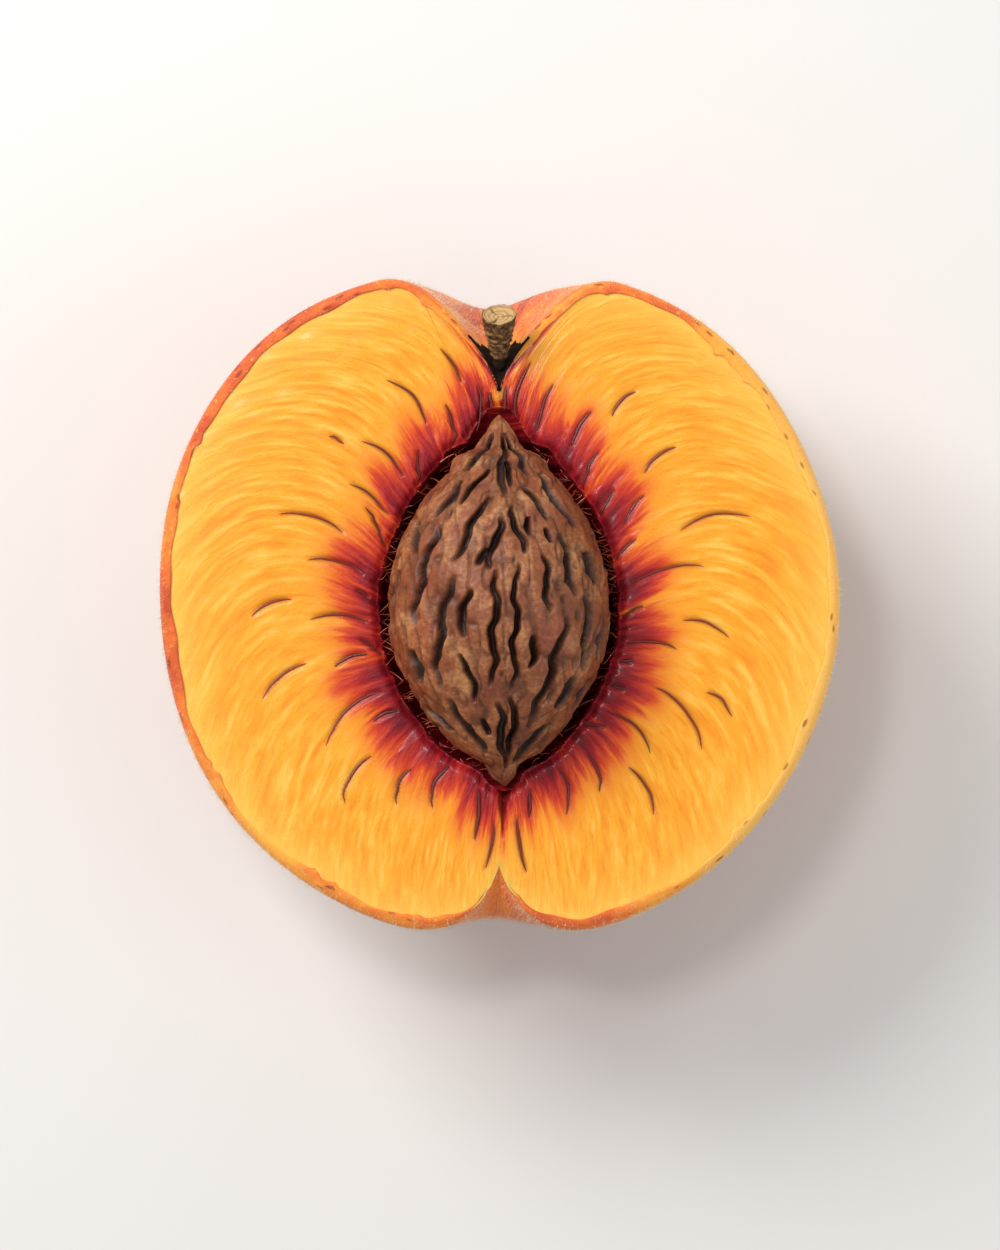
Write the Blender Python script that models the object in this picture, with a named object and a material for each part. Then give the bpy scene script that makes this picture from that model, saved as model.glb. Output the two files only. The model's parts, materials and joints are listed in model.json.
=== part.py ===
"""A ripe peach cut in half, with its whole stone and its stem stub left in it.

The half lies on its round back with the cut face up: +Z is the way the cut face looks, +Y runs
from the tip of the fruit to its stem end, +X is to the right. The fruit's axis lies in the cut
plane. The suture, the fold that every peach has from stem to tip, runs down the middle of the
back, and the keel of the stone faces the same way, towards the viewer at the front.

While the pieces are being made, the origin is the middle of the fruit on its axis, and the cut
plane is z = 0. At the end everything is moved so that the origin is under the middle of the part,
on the surface that it lies on. All lengths are in metres.
"""

import math

import bmesh
import bpy
import numpy as np

# The fruit as a whole: a ball a little fuller at its stem end, most of all on the left, and a
# little slimmer at its tip
FRUIT_RADIUS = 0.0348
WIDTH_RATIO = 1.006
DEPTH_RATIO = 0.97
SHOULDER_ANGLE = math.radians(39)
SHOULDER_SPREAD = math.radians(25)
LEFT_FULLNESS = 0.0017
RIGHT_FULLNESS = 0.0010
CHEEK_ANGLE = math.radians(70)
CHEEK_SPREAD = math.radians(15)
LEFT_CHEEK = 0.0004
TIP_SLIMNESS = 0.0003
TIP_SLIM_ANGLE = math.radians(95)
TIP_SLIM_SPREAD = math.radians(12)
UNEVENNESS = 0.00025
WAVES_TO_TIP = 3.0
WAVES_ROUND = 2.0
WAVE_STARTS = (0.7, 0.4)
FINE_UNEVENNESS = 0.00015
FINE_WAVES_TO_TIP = 5.0
FINE_WAVES_ROUND = 3.0

# The hollow that the stem stands in, and the dimple at the tip: each a cone with a fine end
HOLLOW_DEPTH = 0.0118
HOLLOW_RADIUS = 0.0125
HOLLOW_CURVE = 1.9
HOLLOW_END_DEPTH = 0.0012
HOLLOW_END_RADIUS = 0.00045
DIMPLE_DEPTH = 0.0044
DIMPLE_RADIUS = 0.0135
DIMPLE_CURVE = 2.8
DIMPLE_END_DEPTH = 0.0036
DIMPLE_END_RADIUS = 0.0018

# The suture down the back: deep at the shoulder, shallow half way, a little deeper at the tip
SUTURE_AT_SHOULDER = 0.0029
SUTURE_AT_TIP = 0.0007
SUTURE_HALFWAY = 0.00035
SUTURE_SHOULDER_REACH = 0.62
SUTURE_TIP_REACH = 0.60
SUTURE_HALF_WIDTH = 0.0058
SUTURE_OFFSET = -0.0015
SUTURE_START_RADIUS = 0.006

# The rim, where the soft skin rolls over to meet the cut, and the flat that the half rests on
LIP_RADIUS = 0.0012
LIP_START_RADIUS = 0.005
REST_FLAT_DEPTH = 0.0010

# The stone: almond shaped, with shoulders and a blunt nib towards the stem, and a sharp lower end
# that is drawn in a little and bends to the right
STONE_UPPER_LENGTH = 0.0171
STONE_LOWER_LENGTH = 0.0180
STONE_HALF_WIDTH = 0.0115
STONE_HALF_THICKNESS = 0.0126
STONE_WIDEST_Y = -0.0004
STONE_UPPER_CURVE = 0.64
STONE_LOWER_CURVE = 0.93
NIB_LENGTH = 0.0030
NIB_SLOPE = 0.62
NIB_ROUNDING = 0.0004
STONE_SHOULDER = 0.0011
STONE_SHOULDER_Y = 0.0154
STONE_SHOULDER_REACH = 0.0009
STONE_PINCH = 0.0010
STONE_PINCH_Y = -0.01625
STONE_PINCH_REACH = 0.00095
STONE_BEND = 0.0006
STONE_BEND_CURVE = 6
KEEL_HEIGHT = 0.0003
KEEL_HALF_ANGLE = math.radians(6)
KEEL_FLATNESS = 4
KEEL_GROOVE_ANGLE = math.radians(10)
KEEL_GROOVE_HALF_ANGLE = math.radians(4)
KEEL_GROOVE_DEPTH = 0.0008
FURROWS_ROUND = 15
FURROWS_START_ANGLE = math.radians(17)
FURROW_DEPTH = 0.0013
FURROW_WAVE = 0.10
FURROW_BENDS = 3.0 * math.pi
FURROW_TWIST = 2.0
FURROW_BREAKS = 4.0
FURROW_FAINTEST = 0.35
PIT_DEPTH = 0.0008
PIT_ROWS = (19.0, 31.0)
PIT_COLUMNS = (9.0, -7.0)
RELIEF_END_CURVE = 0.6
RELIEF_FULL_WIDTH = 0.62

# The hollow in the flesh round the stone: a gap at the cut face that closes in further down and
# towards the stone's lower end
GAP_AT_CUT = 0.00085
GAP_BELOW = 0.0007
GAP_CLOSING = 0.45
GAP_CLOSING_REACH = 0.003
CAVITY_EDGE_SINK = 0.0004
CAVITY_EDGE_CURVE = 6

# The crease in the flesh from the stone's lower end towards the tip
CREASE_LENGTH = 0.0048
CREASE_DEPTH = 0.0009
CREASE_HALF_WIDTH = 0.0004

# The stem stub, leaning out of the hollow towards the viewer
STEM_LENGTH = 0.0058
STEM_LEAN = math.radians(40)
STEM_BASE_Y = 0.0253
STEM_BASE_RADIUS = 0.0008
STEM_WAIST_RADIUS = 0.0012
STEM_TOP_RADIUS = 0.00185
STEM_FLARE_CURVE = 2.5
STEM_RINGS = 6
STEM_RING_HEIGHT = 0.00012
STEM_TOP_DISH = 0.0003
STEM_DISH_SHARE = 0.55

# How finely each surface is cut into flat faces
OUTLINE_SAMPLES = 2000
OUTLINE_STEPS = 40
BACK_STEPS = 16
LIP_STEPS = 3
FACE_STEPS = 5
CAVITY_STEPS = 8
STONE_STEPS_ALONG = 34
STONE_STEPS_ROUND = 60
STONE_FRONT_FINENESS = 0.45
STEM_STEPS_ROUND = 16
MERGE_DISTANCE = 0.000002
NEXT_TO_NOTHING = 0.000001


def clear_scene():
    """Remove every object that a new file starts with."""
    for thing in list(bpy.data.objects):
        bpy.data.objects.remove(thing, do_unlink=True)


def cone_with_fine_end(distance, depth, radius, curve, end_depth, end_radius):
    """Depth of a hollow at a distance from the axis: a curved cone, and a narrow pit at its end."""
    cone = depth * np.clip(1.0 - distance / radius, 0.0, None) ** curve
    return cone + end_depth * np.exp(-distance / end_radius)


def suture_depth(turn, distance, x):
    """Depth of the suture: largest at the two ends, fading away from the middle of the back."""
    from_stem = SUTURE_AT_SHOULDER * np.exp(-(turn / SUTURE_SHOULDER_REACH) ** 2)
    from_tip = SUTURE_AT_TIP * np.exp(-((math.pi - turn) / SUTURE_TIP_REACH) ** 2)
    along = from_stem + from_tip + SUTURE_HALFWAY
    across = np.exp(-((x - SUTURE_OFFSET) / SUTURE_HALF_WIDTH) ** 2)
    return along * across * np.clip(distance / SUTURE_START_RADIUS, 0.0, 1.0) ** 2


def fruit_surface(turn, way):
    """Points on the skin.

    turn runs from 0 at the stem to pi at the tip. way runs round the axis, from 0 on the right
    of the cut plane, through pi/2 at the middle of the back, to pi on the left.
    """
    turn, way = np.broadcast_arrays(np.asarray(turn, float), np.asarray(way, float))
    right_share = 0.5 + 0.5 * np.cos(way)
    fullness = LEFT_FULLNESS + (RIGHT_FULLNESS - LEFT_FULLNESS) * right_share
    cheek = LEFT_CHEEK * (1.0 - right_share) * np.exp(-((turn - CHEEK_ANGLE) / CHEEK_SPREAD) ** 2)
    slim = TIP_SLIMNESS * (0.5 + 0.5 * np.tanh((turn - TIP_SLIM_ANGLE) / TIP_SLIM_SPREAD))
    shoulder = fullness * np.exp(-((turn - SHOULDER_ANGLE) / SHOULDER_SPREAD) ** 2)
    radius = FRUIT_RADIUS + shoulder + cheek - slim
    wave_to_tip = np.sin(WAVES_TO_TIP * turn + WAVE_STARTS[0])
    wave = UNEVENNESS * wave_to_tip * np.sin(WAVES_ROUND * way + WAVE_STARTS[1])
    fine_wave = FINE_UNEVENNESS * np.sin(FINE_WAVES_TO_TIP * turn + FINE_WAVES_ROUND * way)
    radius = radius + (wave + fine_wave) * np.sin(turn)
    distance = radius * np.sin(turn)
    x = distance * np.cos(way) * WIDTH_RATIO
    z = -distance * np.sin(way) * DEPTH_RATIO
    hollow = cone_with_fine_end(distance, HOLLOW_DEPTH, HOLLOW_RADIUS, HOLLOW_CURVE,
                                HOLLOW_END_DEPTH, HOLLOW_END_RADIUS)
    dimple = cone_with_fine_end(distance, DIMPLE_DEPTH, DIMPLE_RADIUS, DIMPLE_CURVE,
                                DIMPLE_END_DEPTH, DIMPLE_END_RADIUS)
    y = radius * np.cos(turn) - np.where(turn < math.pi / 2, hollow, -dimple)
    points = np.stack([x, y, z], axis=-1)
    length = np.linalg.norm(points, axis=-1)
    inward = suture_depth(turn, distance, x) * np.sin(way) ** 2
    points *= (1.0 - inward / length)[..., None]
    points[..., 2] = np.maximum(points[..., 2], -rest_depth())
    return points


def rest_depth():
    """Depth of the resting flat below the cut plane."""
    return FRUIT_RADIUS * DEPTH_RATIO - REST_FLAT_DEPTH


def outline_turns():
    """Turns of the outline's points, an even distance apart along the right side of the cut."""
    turns = np.linspace(0.0, math.pi, OUTLINE_SAMPLES)
    points = fruit_surface(turns, 0.0)
    steps = np.linalg.norm(np.diff(points, axis=0), axis=1)
    walked = np.concatenate([[0.0], np.cumsum(steps)])
    return np.interp(np.linspace(0.0, walked[-1], OUTLINE_STEPS + 1), walked, turns)


def both_sides(right, left):
    """One closed ring from a right and a left row of points that share their two ends."""
    return np.concatenate([right, left[-2:0:-1]])


def outline_normals(points, side):
    """Directions in the cut plane from the skin into the flesh, along one side of the outline."""
    along = np.gradient(points, axis=0)
    normals = side * np.stack([along[:, 1], -along[:, 0], np.zeros(len(points))], axis=1)
    return normals / np.linalg.norm(normals, axis=1)[:, None]


def rim_ring(turns, roll):
    """A ring of the rolled rim: roll 0 is its edge on the cut face, roll 1 its outermost line."""
    halves = []
    for side in (1.0, -1.0):
        start = 0.0 if side > 0 else math.pi
        flat = fruit_surface(turns, start)
        distance = np.abs(flat[:, 0])
        lip = LIP_RADIUS * np.clip(distance / LIP_START_RADIUS, 0.0, 1.0)
        depth = lip * (1.0 - math.cos(roll * math.pi / 2))
        inset = lip * (1.0 - math.sin(roll * math.pi / 2))
        angle = np.arcsin(np.clip(depth / np.maximum(distance * DEPTH_RATIO, NEXT_TO_NOTHING), 0.0, 1.0))
        way = angle if side > 0 else math.pi - angle
        points = fruit_surface(turns, way)
        points = points + outline_normals(flat, side) * inset[:, None]
        points[[0, -1]] = flat[[0, -1]]
        halves.append(points)
    return both_sides(*halves)


def back_ring(turns, share):
    """A ring of the back: share 0 is the rim's outermost line, 1 the middle line of the back."""
    distance = np.maximum(np.abs(fruit_surface(turns, 0.0)[:, 0]), NEXT_TO_NOTHING)
    lip = LIP_RADIUS * np.clip(distance / LIP_START_RADIUS, 0.0, 1.0)
    first = np.arcsin(np.clip(lip / (distance * DEPTH_RATIO), 0.0, 1.0))
    way = first + (math.pi / 2 - first) * share
    return both_sides(fruit_surface(turns, way), fruit_surface(turns, math.pi - way))


def stone_half_width(y):
    """Half the stone's width, as a share of the largest, at a height along the fruit's axis."""
    up = np.clip((y - STONE_WIDEST_Y) / STONE_UPPER_LENGTH, 0.0, 1.0)
    down = np.clip((STONE_WIDEST_Y - y) / STONE_LOWER_LENGTH, 0.0, 1.0)
    upper = (1.0 - up ** 2) ** STONE_UPPER_CURVE
    lower = (1.0 - down ** 2) ** STONE_LOWER_CURVE
    shoulder = STONE_SHOULDER * np.exp(-((y - STONE_SHOULDER_Y) / STONE_SHOULDER_REACH) ** 2)
    pinch = STONE_PINCH * np.exp(-((y - STONE_PINCH_Y) / STONE_PINCH_REACH) ** 2)
    almond = np.where(y > STONE_WIDEST_Y, upper, lower)
    return np.maximum(almond + (shoulder - pinch) / STONE_HALF_WIDTH, 0.0)


def stone_bend(y):
    """How far the stone's lower end lies to the right, at a height along the fruit's axis."""
    down = np.clip((STONE_WIDEST_Y - y) / STONE_LOWER_LENGTH, 0.0, 1.0)
    return STONE_BEND * down ** STONE_BEND_CURVE


def stone_profile(steps):
    """Heights and half widths from the nib to the lower end, closer together near the ends."""
    walk = 0.5 - 0.5 * np.cos(np.linspace(0.0, math.pi, steps + 1))
    top = STONE_WIDEST_Y + STONE_UPPER_LENGTH + NIB_LENGTH
    bottom = STONE_WIDEST_Y - STONE_LOWER_LENGTH
    y = top + (bottom - top) * walk
    from_top = top - y
    nib = NIB_SLOPE * from_top + NIB_ROUNDING * (1.0 - np.exp(-from_top / NIB_ROUNDING))
    nib = np.where(from_top < 1.5 * NIB_LENGTH, nib / STONE_HALF_WIDTH, 0.0)
    return y, np.maximum(stone_half_width(y), nib)


def stone_relief(share, turn):
    """Height of the stone's surface over its smooth form: keel, wavy furrows and small pits.

    The keel is a slightly raised band between two grooves, alike on the front and on the back.
    The furrows run from end to end, wander a little, and are deep and shallow by turns.
    """
    wide = np.sin(math.pi * share) ** RELIEF_END_CURVE
    from_keel = np.arcsin(np.abs(np.cos(turn)))
    keel = KEEL_HEIGHT * np.exp(-(from_keel / KEEL_HALF_ANGLE) ** KEEL_FLATNESS)
    from_groove = (from_keel - KEEL_GROOVE_ANGLE) / KEEL_GROOVE_HALF_ANGLE
    groove = KEEL_GROOVE_DEPTH * np.exp(-from_groove ** 2)
    away = 1.0 - np.exp(-(from_keel / FURROWS_START_ANGLE) ** KEEL_FLATNESS)
    wander = FURROW_WAVE * np.sin(FURROW_BENDS * share + FURROW_TWIST * turn)
    furrow = (0.5 + 0.5 * np.cos(FURROWS_ROUND * (turn + wander))) ** 2
    breaks = np.sin(FURROW_BENDS * share + FURROW_BREAKS * turn) ** 2
    strength = FURROW_FAINTEST + (1.0 - FURROW_FAINTEST) * breaks
    spots = [np.sin(row * share + column * turn) for row, column in zip(PIT_ROWS, PIT_COLUMNS)]
    pits = PIT_DEPTH * np.clip(spots[0] * spots[1], 0.0, 1.0) ** 3
    return wide * (keel - groove - away * (FURROW_DEPTH * furrow * strength + pits))


def cavity_ring(share):
    """A ring of the hollow for the stone: share 0 is at the cut face, 1 along its deepest line."""
    y, width = stone_profile(OUTLINE_STEPS)
    middle = 0.5 * (y[0] + y[-1])
    closing = 1.0 - GAP_CLOSING * np.exp(-((y - y[-1]) / GAP_CLOSING_REACH) ** 2)
    gap = (GAP_AT_CUT + (GAP_BELOW - GAP_AT_CUT) * share) * closing
    stretch = 1.0 + 2.0 * gap / (y[0] - y[-1])
    halves = []
    for side in (1.0, -1.0):
        turn = share * math.pi / 2
        ease = np.sqrt(np.clip(width * STONE_HALF_WIDTH / NIB_ROUNDING, 0.0, 1.0))
        x = side * (STONE_HALF_WIDTH * width + gap * ease) * math.cos(turn)
        z = -(STONE_HALF_THICKNESS * width + gap * ease) * math.sin(turn)
        halves.append(np.stack([x + stone_bend(y), middle + (y - middle) * stretch, z], axis=1))
    return both_sides(*halves)


def face_ring(edge, cavity, share):
    """A ring of the cut face between the rim's edge and the hollow for the stone."""
    ring = edge + (cavity - edge) * share
    ring[:, 2] -= CAVITY_EDGE_SINK * share ** CAVITY_EDGE_CURVE
    tip_y = STONE_WIDEST_Y - STONE_LOWER_LENGTH
    below_tip = np.clip((ring[:, 1] - tip_y + CREASE_LENGTH) / CREASE_LENGTH, 0.0, 1.0)
    near_axis = np.exp(-((ring[:, 0] - STONE_BEND) / CREASE_HALF_WIDTH) ** 2)
    ring[:, 2] -= CREASE_DEPTH * below_tip * near_axis * (ring[:, 1] < tip_y)
    return ring


def loft(mesh, rings):
    """Join closed rings of equally many points with faces, each ring to the next."""
    rows = [[mesh.verts.new(point) for point in ring] for ring in rings]
    for row, following in zip(rows, rows[1:]):
        for i in range(len(row)):
            j = (i + 1) % len(row)
            mesh.faces.new((row[i], row[j], following[j], following[i]))
    return rows


def make_object(name, mesh, material):
    """Close a bmesh, turn its faces outwards and put it in the scene under its name."""
    bmesh.ops.remove_doubles(mesh, verts=mesh.verts, dist=MERGE_DISTANCE)
    bmesh.ops.dissolve_degenerate(mesh, edges=mesh.edges, dist=MERGE_DISTANCE)
    bmesh.ops.triangulate(mesh, faces=mesh.faces)
    bmesh.ops.recalc_face_normals(mesh, faces=mesh.faces)
    data = bpy.data.meshes.new(name)
    mesh.to_mesh(data)
    mesh.free()
    data.materials.append(material)
    data.shade_smooth()
    thing = bpy.data.objects.new(name, data)
    bpy.context.scene.collection.objects.link(thing)
    return thing


def make_material(name, colour, roughness):
    """A plain material in a colour given as red, green and blue, not metallic."""
    material = bpy.data.materials.new(name)
    material.use_nodes = True
    shader = material.node_tree.nodes["Principled BSDF"]
    shader.inputs["Base Color"].default_value = (*colour, 1.0)
    shader.inputs["Roughness"].default_value = roughness
    shader.inputs["Metallic"].default_value = 0.0
    return material


def make_flesh():
    """The half itself, flesh and skin in one: hollow for the stone, cut face, rim and back."""
    turns = outline_turns()
    edge = rim_ring(turns, 0.0)
    cavity = cavity_ring(0.0)
    rings = [cavity_ring(1.0 - i / CAVITY_STEPS) for i in range(CAVITY_STEPS)]
    rings += [face_ring(edge, cavity, 1.0 - i / FACE_STEPS) for i in range(FACE_STEPS)]
    rings += [rim_ring(turns, i / LIP_STEPS) for i in range(LIP_STEPS)]
    rings += [back_ring(turns, i / BACK_STEPS) for i in range(BACK_STEPS + 1)]
    mesh = bmesh.new()
    loft(mesh, rings)
    return make_object("flesh", mesh, make_material("peach_flesh", (0.88, 0.42, 0.07), 0.4))


def make_stone():
    """The whole stone, with its keel, furrows and pits worked into its surface."""
    y, width = stone_profile(STONE_STEPS_ALONG)
    turns = np.linspace(0.0, 2.0 * math.pi, STONE_STEPS_ROUND, endpoint=False)
    turns = turns + STONE_FRONT_FINENESS * np.cos(turns)
    rings = []
    for i, (height, share) in enumerate(zip(y, width)):
        relief = stone_relief(i / STONE_STEPS_ALONG, turns) * min(1.0, share / RELIEF_FULL_WIDTH)
        x = stone_bend(height) + (STONE_HALF_WIDTH * share + relief) * np.cos(turns)
        z = (STONE_HALF_THICKNESS * share + relief) * np.sin(turns)
        rings.append(np.stack([x, np.full_like(x, height), z], axis=1))
    mesh = bmesh.new()
    loft(mesh, rings)
    return make_object("stone", mesh, make_material("peach_stone", (0.20, 0.065, 0.028), 0.6))


def stem_radius(share):
    """Radius of the stem: narrow at its foot, a waist, growth rings and a flared top."""
    waist = STEM_BASE_RADIUS + (STEM_WAIST_RADIUS - STEM_BASE_RADIUS) * math.sin(share * math.pi / 2)
    flare = (STEM_TOP_RADIUS - STEM_WAIST_RADIUS) * share ** STEM_FLARE_CURVE
    return waist + flare + STEM_RING_HEIGHT * math.cos(2.0 * math.pi * STEM_RINGS * share)


def make_stem():
    """The woody stub, a round bar with rings that ends in a shallow dish where it broke off."""
    mesh = bmesh.new()
    rings = []
    steps = 2 * STEM_RINGS
    angles = np.linspace(0.0, 2.0 * math.pi, STEM_STEPS_ROUND, endpoint=False)
    along = np.array([0.0, math.cos(STEM_LEAN), math.sin(STEM_LEAN)])
    across = np.array([1.0, 0.0, 0.0])
    up = np.cross(across, along)
    foot = np.array([0.0, STEM_BASE_Y, 0.0])
    stations = [(i / steps * STEM_LENGTH, stem_radius(i / steps)) for i in range(steps + 1)]
    stations.append((STEM_LENGTH - STEM_TOP_DISH, STEM_DISH_SHARE * STEM_TOP_RADIUS))
    for height, radius in stations:
        circle = np.outer(np.cos(angles), across) + np.outer(np.sin(angles), up)
        rings.append(foot + along * height + circle * radius)
    rows = loft(mesh, rings)
    mesh.faces.new(rows[0])
    mesh.faces.new(rows[-1])
    return make_object("stem", mesh, make_material("stem_wood", (0.17, 0.095, 0.045), 0.8))


def stand_on_origin(things):
    """Move all pieces alike, so that the origin is under their middle, on the resting flat."""
    corners = np.array([vertex.co[:] for thing in things for vertex in thing.data.vertices])
    low, high = corners.min(axis=0), corners.max(axis=0)
    shift = np.array([(low[0] + high[0]) / 2, (low[1] + high[1]) / 2, low[2]])
    for thing in things:
        for vertex in thing.data.vertices:
            vertex.co = np.array(vertex.co) - shift


def main():
    """Build the peach half."""
    clear_scene()
    stand_on_origin([make_flesh(), make_stone(), make_stem()])


main()
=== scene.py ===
"""Looks of a peach half: wet cut flesh, downy skin, a furrowed stone, its fibres and the stem.

The half lies on its round back with the cut face up and the stem towards +Y. Every shape is a
function of two parameters on a grid, or a profile carried along a path, worked out as whole
arrays in the fruit's own frame: origin in the middle of the fruit on its axis, cut plane z = 0.
`Fruit.origin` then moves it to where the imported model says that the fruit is. Lengths are metres.
"""

from __future__ import annotations

import json
import logging
import math
from dataclasses import dataclass, field
from enum import Enum
from itertools import product

import bmesh
import bpy
import numpy as np
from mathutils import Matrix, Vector

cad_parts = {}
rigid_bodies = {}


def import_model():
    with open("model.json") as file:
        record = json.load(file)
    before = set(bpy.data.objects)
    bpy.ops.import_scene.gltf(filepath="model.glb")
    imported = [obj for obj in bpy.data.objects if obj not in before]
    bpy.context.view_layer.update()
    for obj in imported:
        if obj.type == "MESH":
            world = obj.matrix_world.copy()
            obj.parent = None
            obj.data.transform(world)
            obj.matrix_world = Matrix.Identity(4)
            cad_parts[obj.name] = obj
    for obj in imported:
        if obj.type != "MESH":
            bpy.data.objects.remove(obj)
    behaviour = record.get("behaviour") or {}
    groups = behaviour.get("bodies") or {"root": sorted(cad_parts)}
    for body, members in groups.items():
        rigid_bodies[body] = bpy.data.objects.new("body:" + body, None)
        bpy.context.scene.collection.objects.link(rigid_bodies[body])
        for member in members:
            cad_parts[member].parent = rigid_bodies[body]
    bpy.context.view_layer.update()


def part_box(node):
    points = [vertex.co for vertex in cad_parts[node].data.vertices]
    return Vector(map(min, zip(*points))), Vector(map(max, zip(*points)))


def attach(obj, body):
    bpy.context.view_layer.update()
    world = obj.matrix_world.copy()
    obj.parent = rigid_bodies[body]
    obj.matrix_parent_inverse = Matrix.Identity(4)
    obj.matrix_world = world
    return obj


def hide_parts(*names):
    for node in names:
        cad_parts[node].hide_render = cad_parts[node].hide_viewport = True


Array = np.ndarray
LOG = logging.getLogger("peach_half")
MM = 0.001
MERGE_DISTANCE = 2e-7


class Side(Enum):
    """The two sides of the cut face, each with its direction along +X."""

    RIGHT = 1.0
    LEFT = -1.0


# ---------------------------------------------------------------- meshes


class LatticeNoise:
    """Smooth unevenness: random values on the corners of a cubic grid, blended between them."""

    def __init__(self, seed: int, size: int = 48) -> None:
        """Fill the grid with seeded values from -1 to 1.

        Args:
            seed: Number that fixes the values.
            size: Corners along each edge before the pattern repeats.
        """
        self.size = size
        self.values = np.random.default_rng(seed).uniform(-1.0, 1.0, (size, size, size))

    def at(self, points: Array, pitch: float) -> Array:
        """Blend the eight corners round each point, weighted by a smooth step along each axis.

        Args:
            points: Places, with x, y and z along the last axis.
            pitch: Distance between two corners of the grid.

        Returns:
            One value from -1 to 1 for each point.
        """
        scaled = points / pitch
        cell = np.floor(scaled).astype(int)
        part = scaled - cell
        part = part * part * (3.0 - 2.0 * part)
        total = np.zeros(points.shape[:-1])
        for corner in product((0, 1), repeat=3):
            weight = np.prod(np.where(np.array(corner) == 1, part, 1.0 - part), axis=-1)
            index = (cell + corner) % self.size
            total += weight * self.values[index[..., 0], index[..., 1], index[..., 2]]
        return total


def wrapped(angle: Array) -> Array:
    """Turn angles into the same angles between minus and plus half a turn."""
    return np.arctan2(np.sin(angle), np.cos(angle))


def unit(vectors: Array) -> Array:
    """Scale vectors to length one, and leave those without length at nought."""
    return vectors / np.maximum(np.linalg.norm(vectors, axis=-1, keepdims=True), 1e-12)


def build_mesh(name: str, points: Array, faces: Array,
               attributes: dict[str, Array]) -> bpy.types.Object:
    """Put a mesh with per-point attributes in the scene, merged where points meet, faces outwards.

    Args:
        name: Name of the piece.
        points: Corner places, one row each.
        faces: Corner numbers, one row for each face, all with equally many corners.
        attributes: Values by name, with one number or one vector for each point.

    Returns:
        The new object, at the origin.
    """
    mesh = bpy.data.meshes.new(name)
    mesh.vertices.add(len(points))
    mesh.vertices.foreach_set("co", points.astype(np.float32).ravel())
    mesh.loops.add(faces.size)
    mesh.loops.foreach_set("vertex_index", faces.astype(np.int32).ravel())
    mesh.polygons.add(len(faces))
    mesh.polygons.foreach_set("loop_start", np.arange(0, faces.size, faces.shape[1], dtype=np.int32))
    mesh.update(calc_edges=True)
    for label, values in attributes.items():
        vector = values.ndim == 2
        layer = mesh.attributes.new(label, "FLOAT_VECTOR" if vector else "FLOAT", "POINT")
        layer.data.foreach_set("vector" if vector else "value", values.astype(np.float32).ravel())
    work = bmesh.new()
    work.from_mesh(mesh)
    bmesh.ops.remove_doubles(work, verts=work.verts, dist=MERGE_DISTANCE)
    bmesh.ops.dissolve_degenerate(work, edges=work.edges, dist=MERGE_DISTANCE)
    bmesh.ops.recalc_face_normals(work, faces=work.faces)
    work.to_mesh(mesh)
    work.free()
    mesh.shade_smooth()
    piece = bpy.data.objects.new(name, mesh)
    bpy.context.scene.collection.objects.link(piece)
    return piece


def ring_faces(rows: int, around: int, wrap: bool = True) -> Array:
    """Four-cornered faces between successive rows of a grid.

    Args:
        rows: Number of rows.
        around: Points in a row.
        wrap: Whether each row is a closed ring.

    Returns:
        Corner numbers, one row for each face.
    """
    columns = np.arange(around if wrap else around - 1)
    here = (np.arange(rows - 1)[:, None] * around + columns).ravel()
    beside = (np.arange(rows - 1)[:, None] * around + (columns + 1) % around).ravel()
    return np.stack([here, beside, beside + around, here + around], axis=1)


def loft(name: str, rings: Array, attributes: dict[str, Array]) -> bpy.types.Object:
    """Join closed rings of equally many points, each to the next, into one surface.

    Args:
        name: Name of the piece.
        rings: Points by ring and by place on the ring.
        attributes: Values for each point, laid out as the rings are.

    Returns:
        The new object.
    """
    flat = {key: value.reshape(-1, 3) if value.ndim == 3 else value.ravel()
            for key, value in attributes.items()}
    return build_mesh(name, rings.reshape(-1, 3), ring_faces(*rings.shape[:2]), flat)


def tubes(name: str, paths: Array, radii: Array, sides: int,
          attributes: dict[str, Array]) -> bpy.types.Object:
    """Carry a round profile along many paths at once; a radius of nought at an end closes it.

    Each ring lies across the path's direction, on one axis square to it and to +Z.

    Args:
        name: Name of the piece.
        paths: Points by tube and by place along it.
        radii: Radius at each of those points.
        sides: Points round each ring.
        attributes: One value for each tube, or for each point of its path, by name.

    Returns:
        The new object, all tubes in one mesh.
    """
    count, length = paths.shape[:2]
    along = unit(np.gradient(paths, axis=1))
    across = unit(np.cross(along, np.array([0.06, 0.03, 1.0])))
    up = np.cross(across, along)
    turns = np.linspace(0.0, 2.0 * math.pi, sides, endpoint=False)
    circle = np.cos(turns)[:, None] * across[..., None, :] + np.sin(turns)[:, None] * up[..., None, :]
    rings = paths[..., None, :] + circle * radii[..., None, None]
    one = ring_faces(length, sides)
    faces = (one[None] + (np.arange(count) * length * sides)[:, None, None]).reshape(-1, 4)
    by_ring = {key: value if value.ndim == 2 else np.repeat(value[:, None], length, axis=1)
               for key, value in attributes.items()}
    spread = {key: np.repeat(value.ravel(), sides) for key, value in by_ring.items()}
    return build_mesh(name, rings.reshape(-1, 3), faces, spread)


def face_towards(piece: bpy.types.Object, direction: Array) -> None:
    """Turn a sheet's faces over where they look against a direction, taken together by area."""
    polygons = piece.data.polygons
    normals, areas = np.zeros(3 * len(polygons)), np.zeros(len(polygons))
    polygons.foreach_get("normal", normals)
    polygons.foreach_get("area", areas)
    if areas @ normals.reshape(-1, 3) @ direction < 0.0:
        piece.data.flip_normals()


def add_wall(piece: bpy.types.Object, thickness: float) -> None:
    """Give a sheet its thickness, on the side that its faces look away from."""
    wall = piece.modifiers.new("thickness", "SOLIDIFY")
    wall.thickness = thickness
    wall.offset = -1.0


# ---------------------------------------------------------------- nodes and colours


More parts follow.
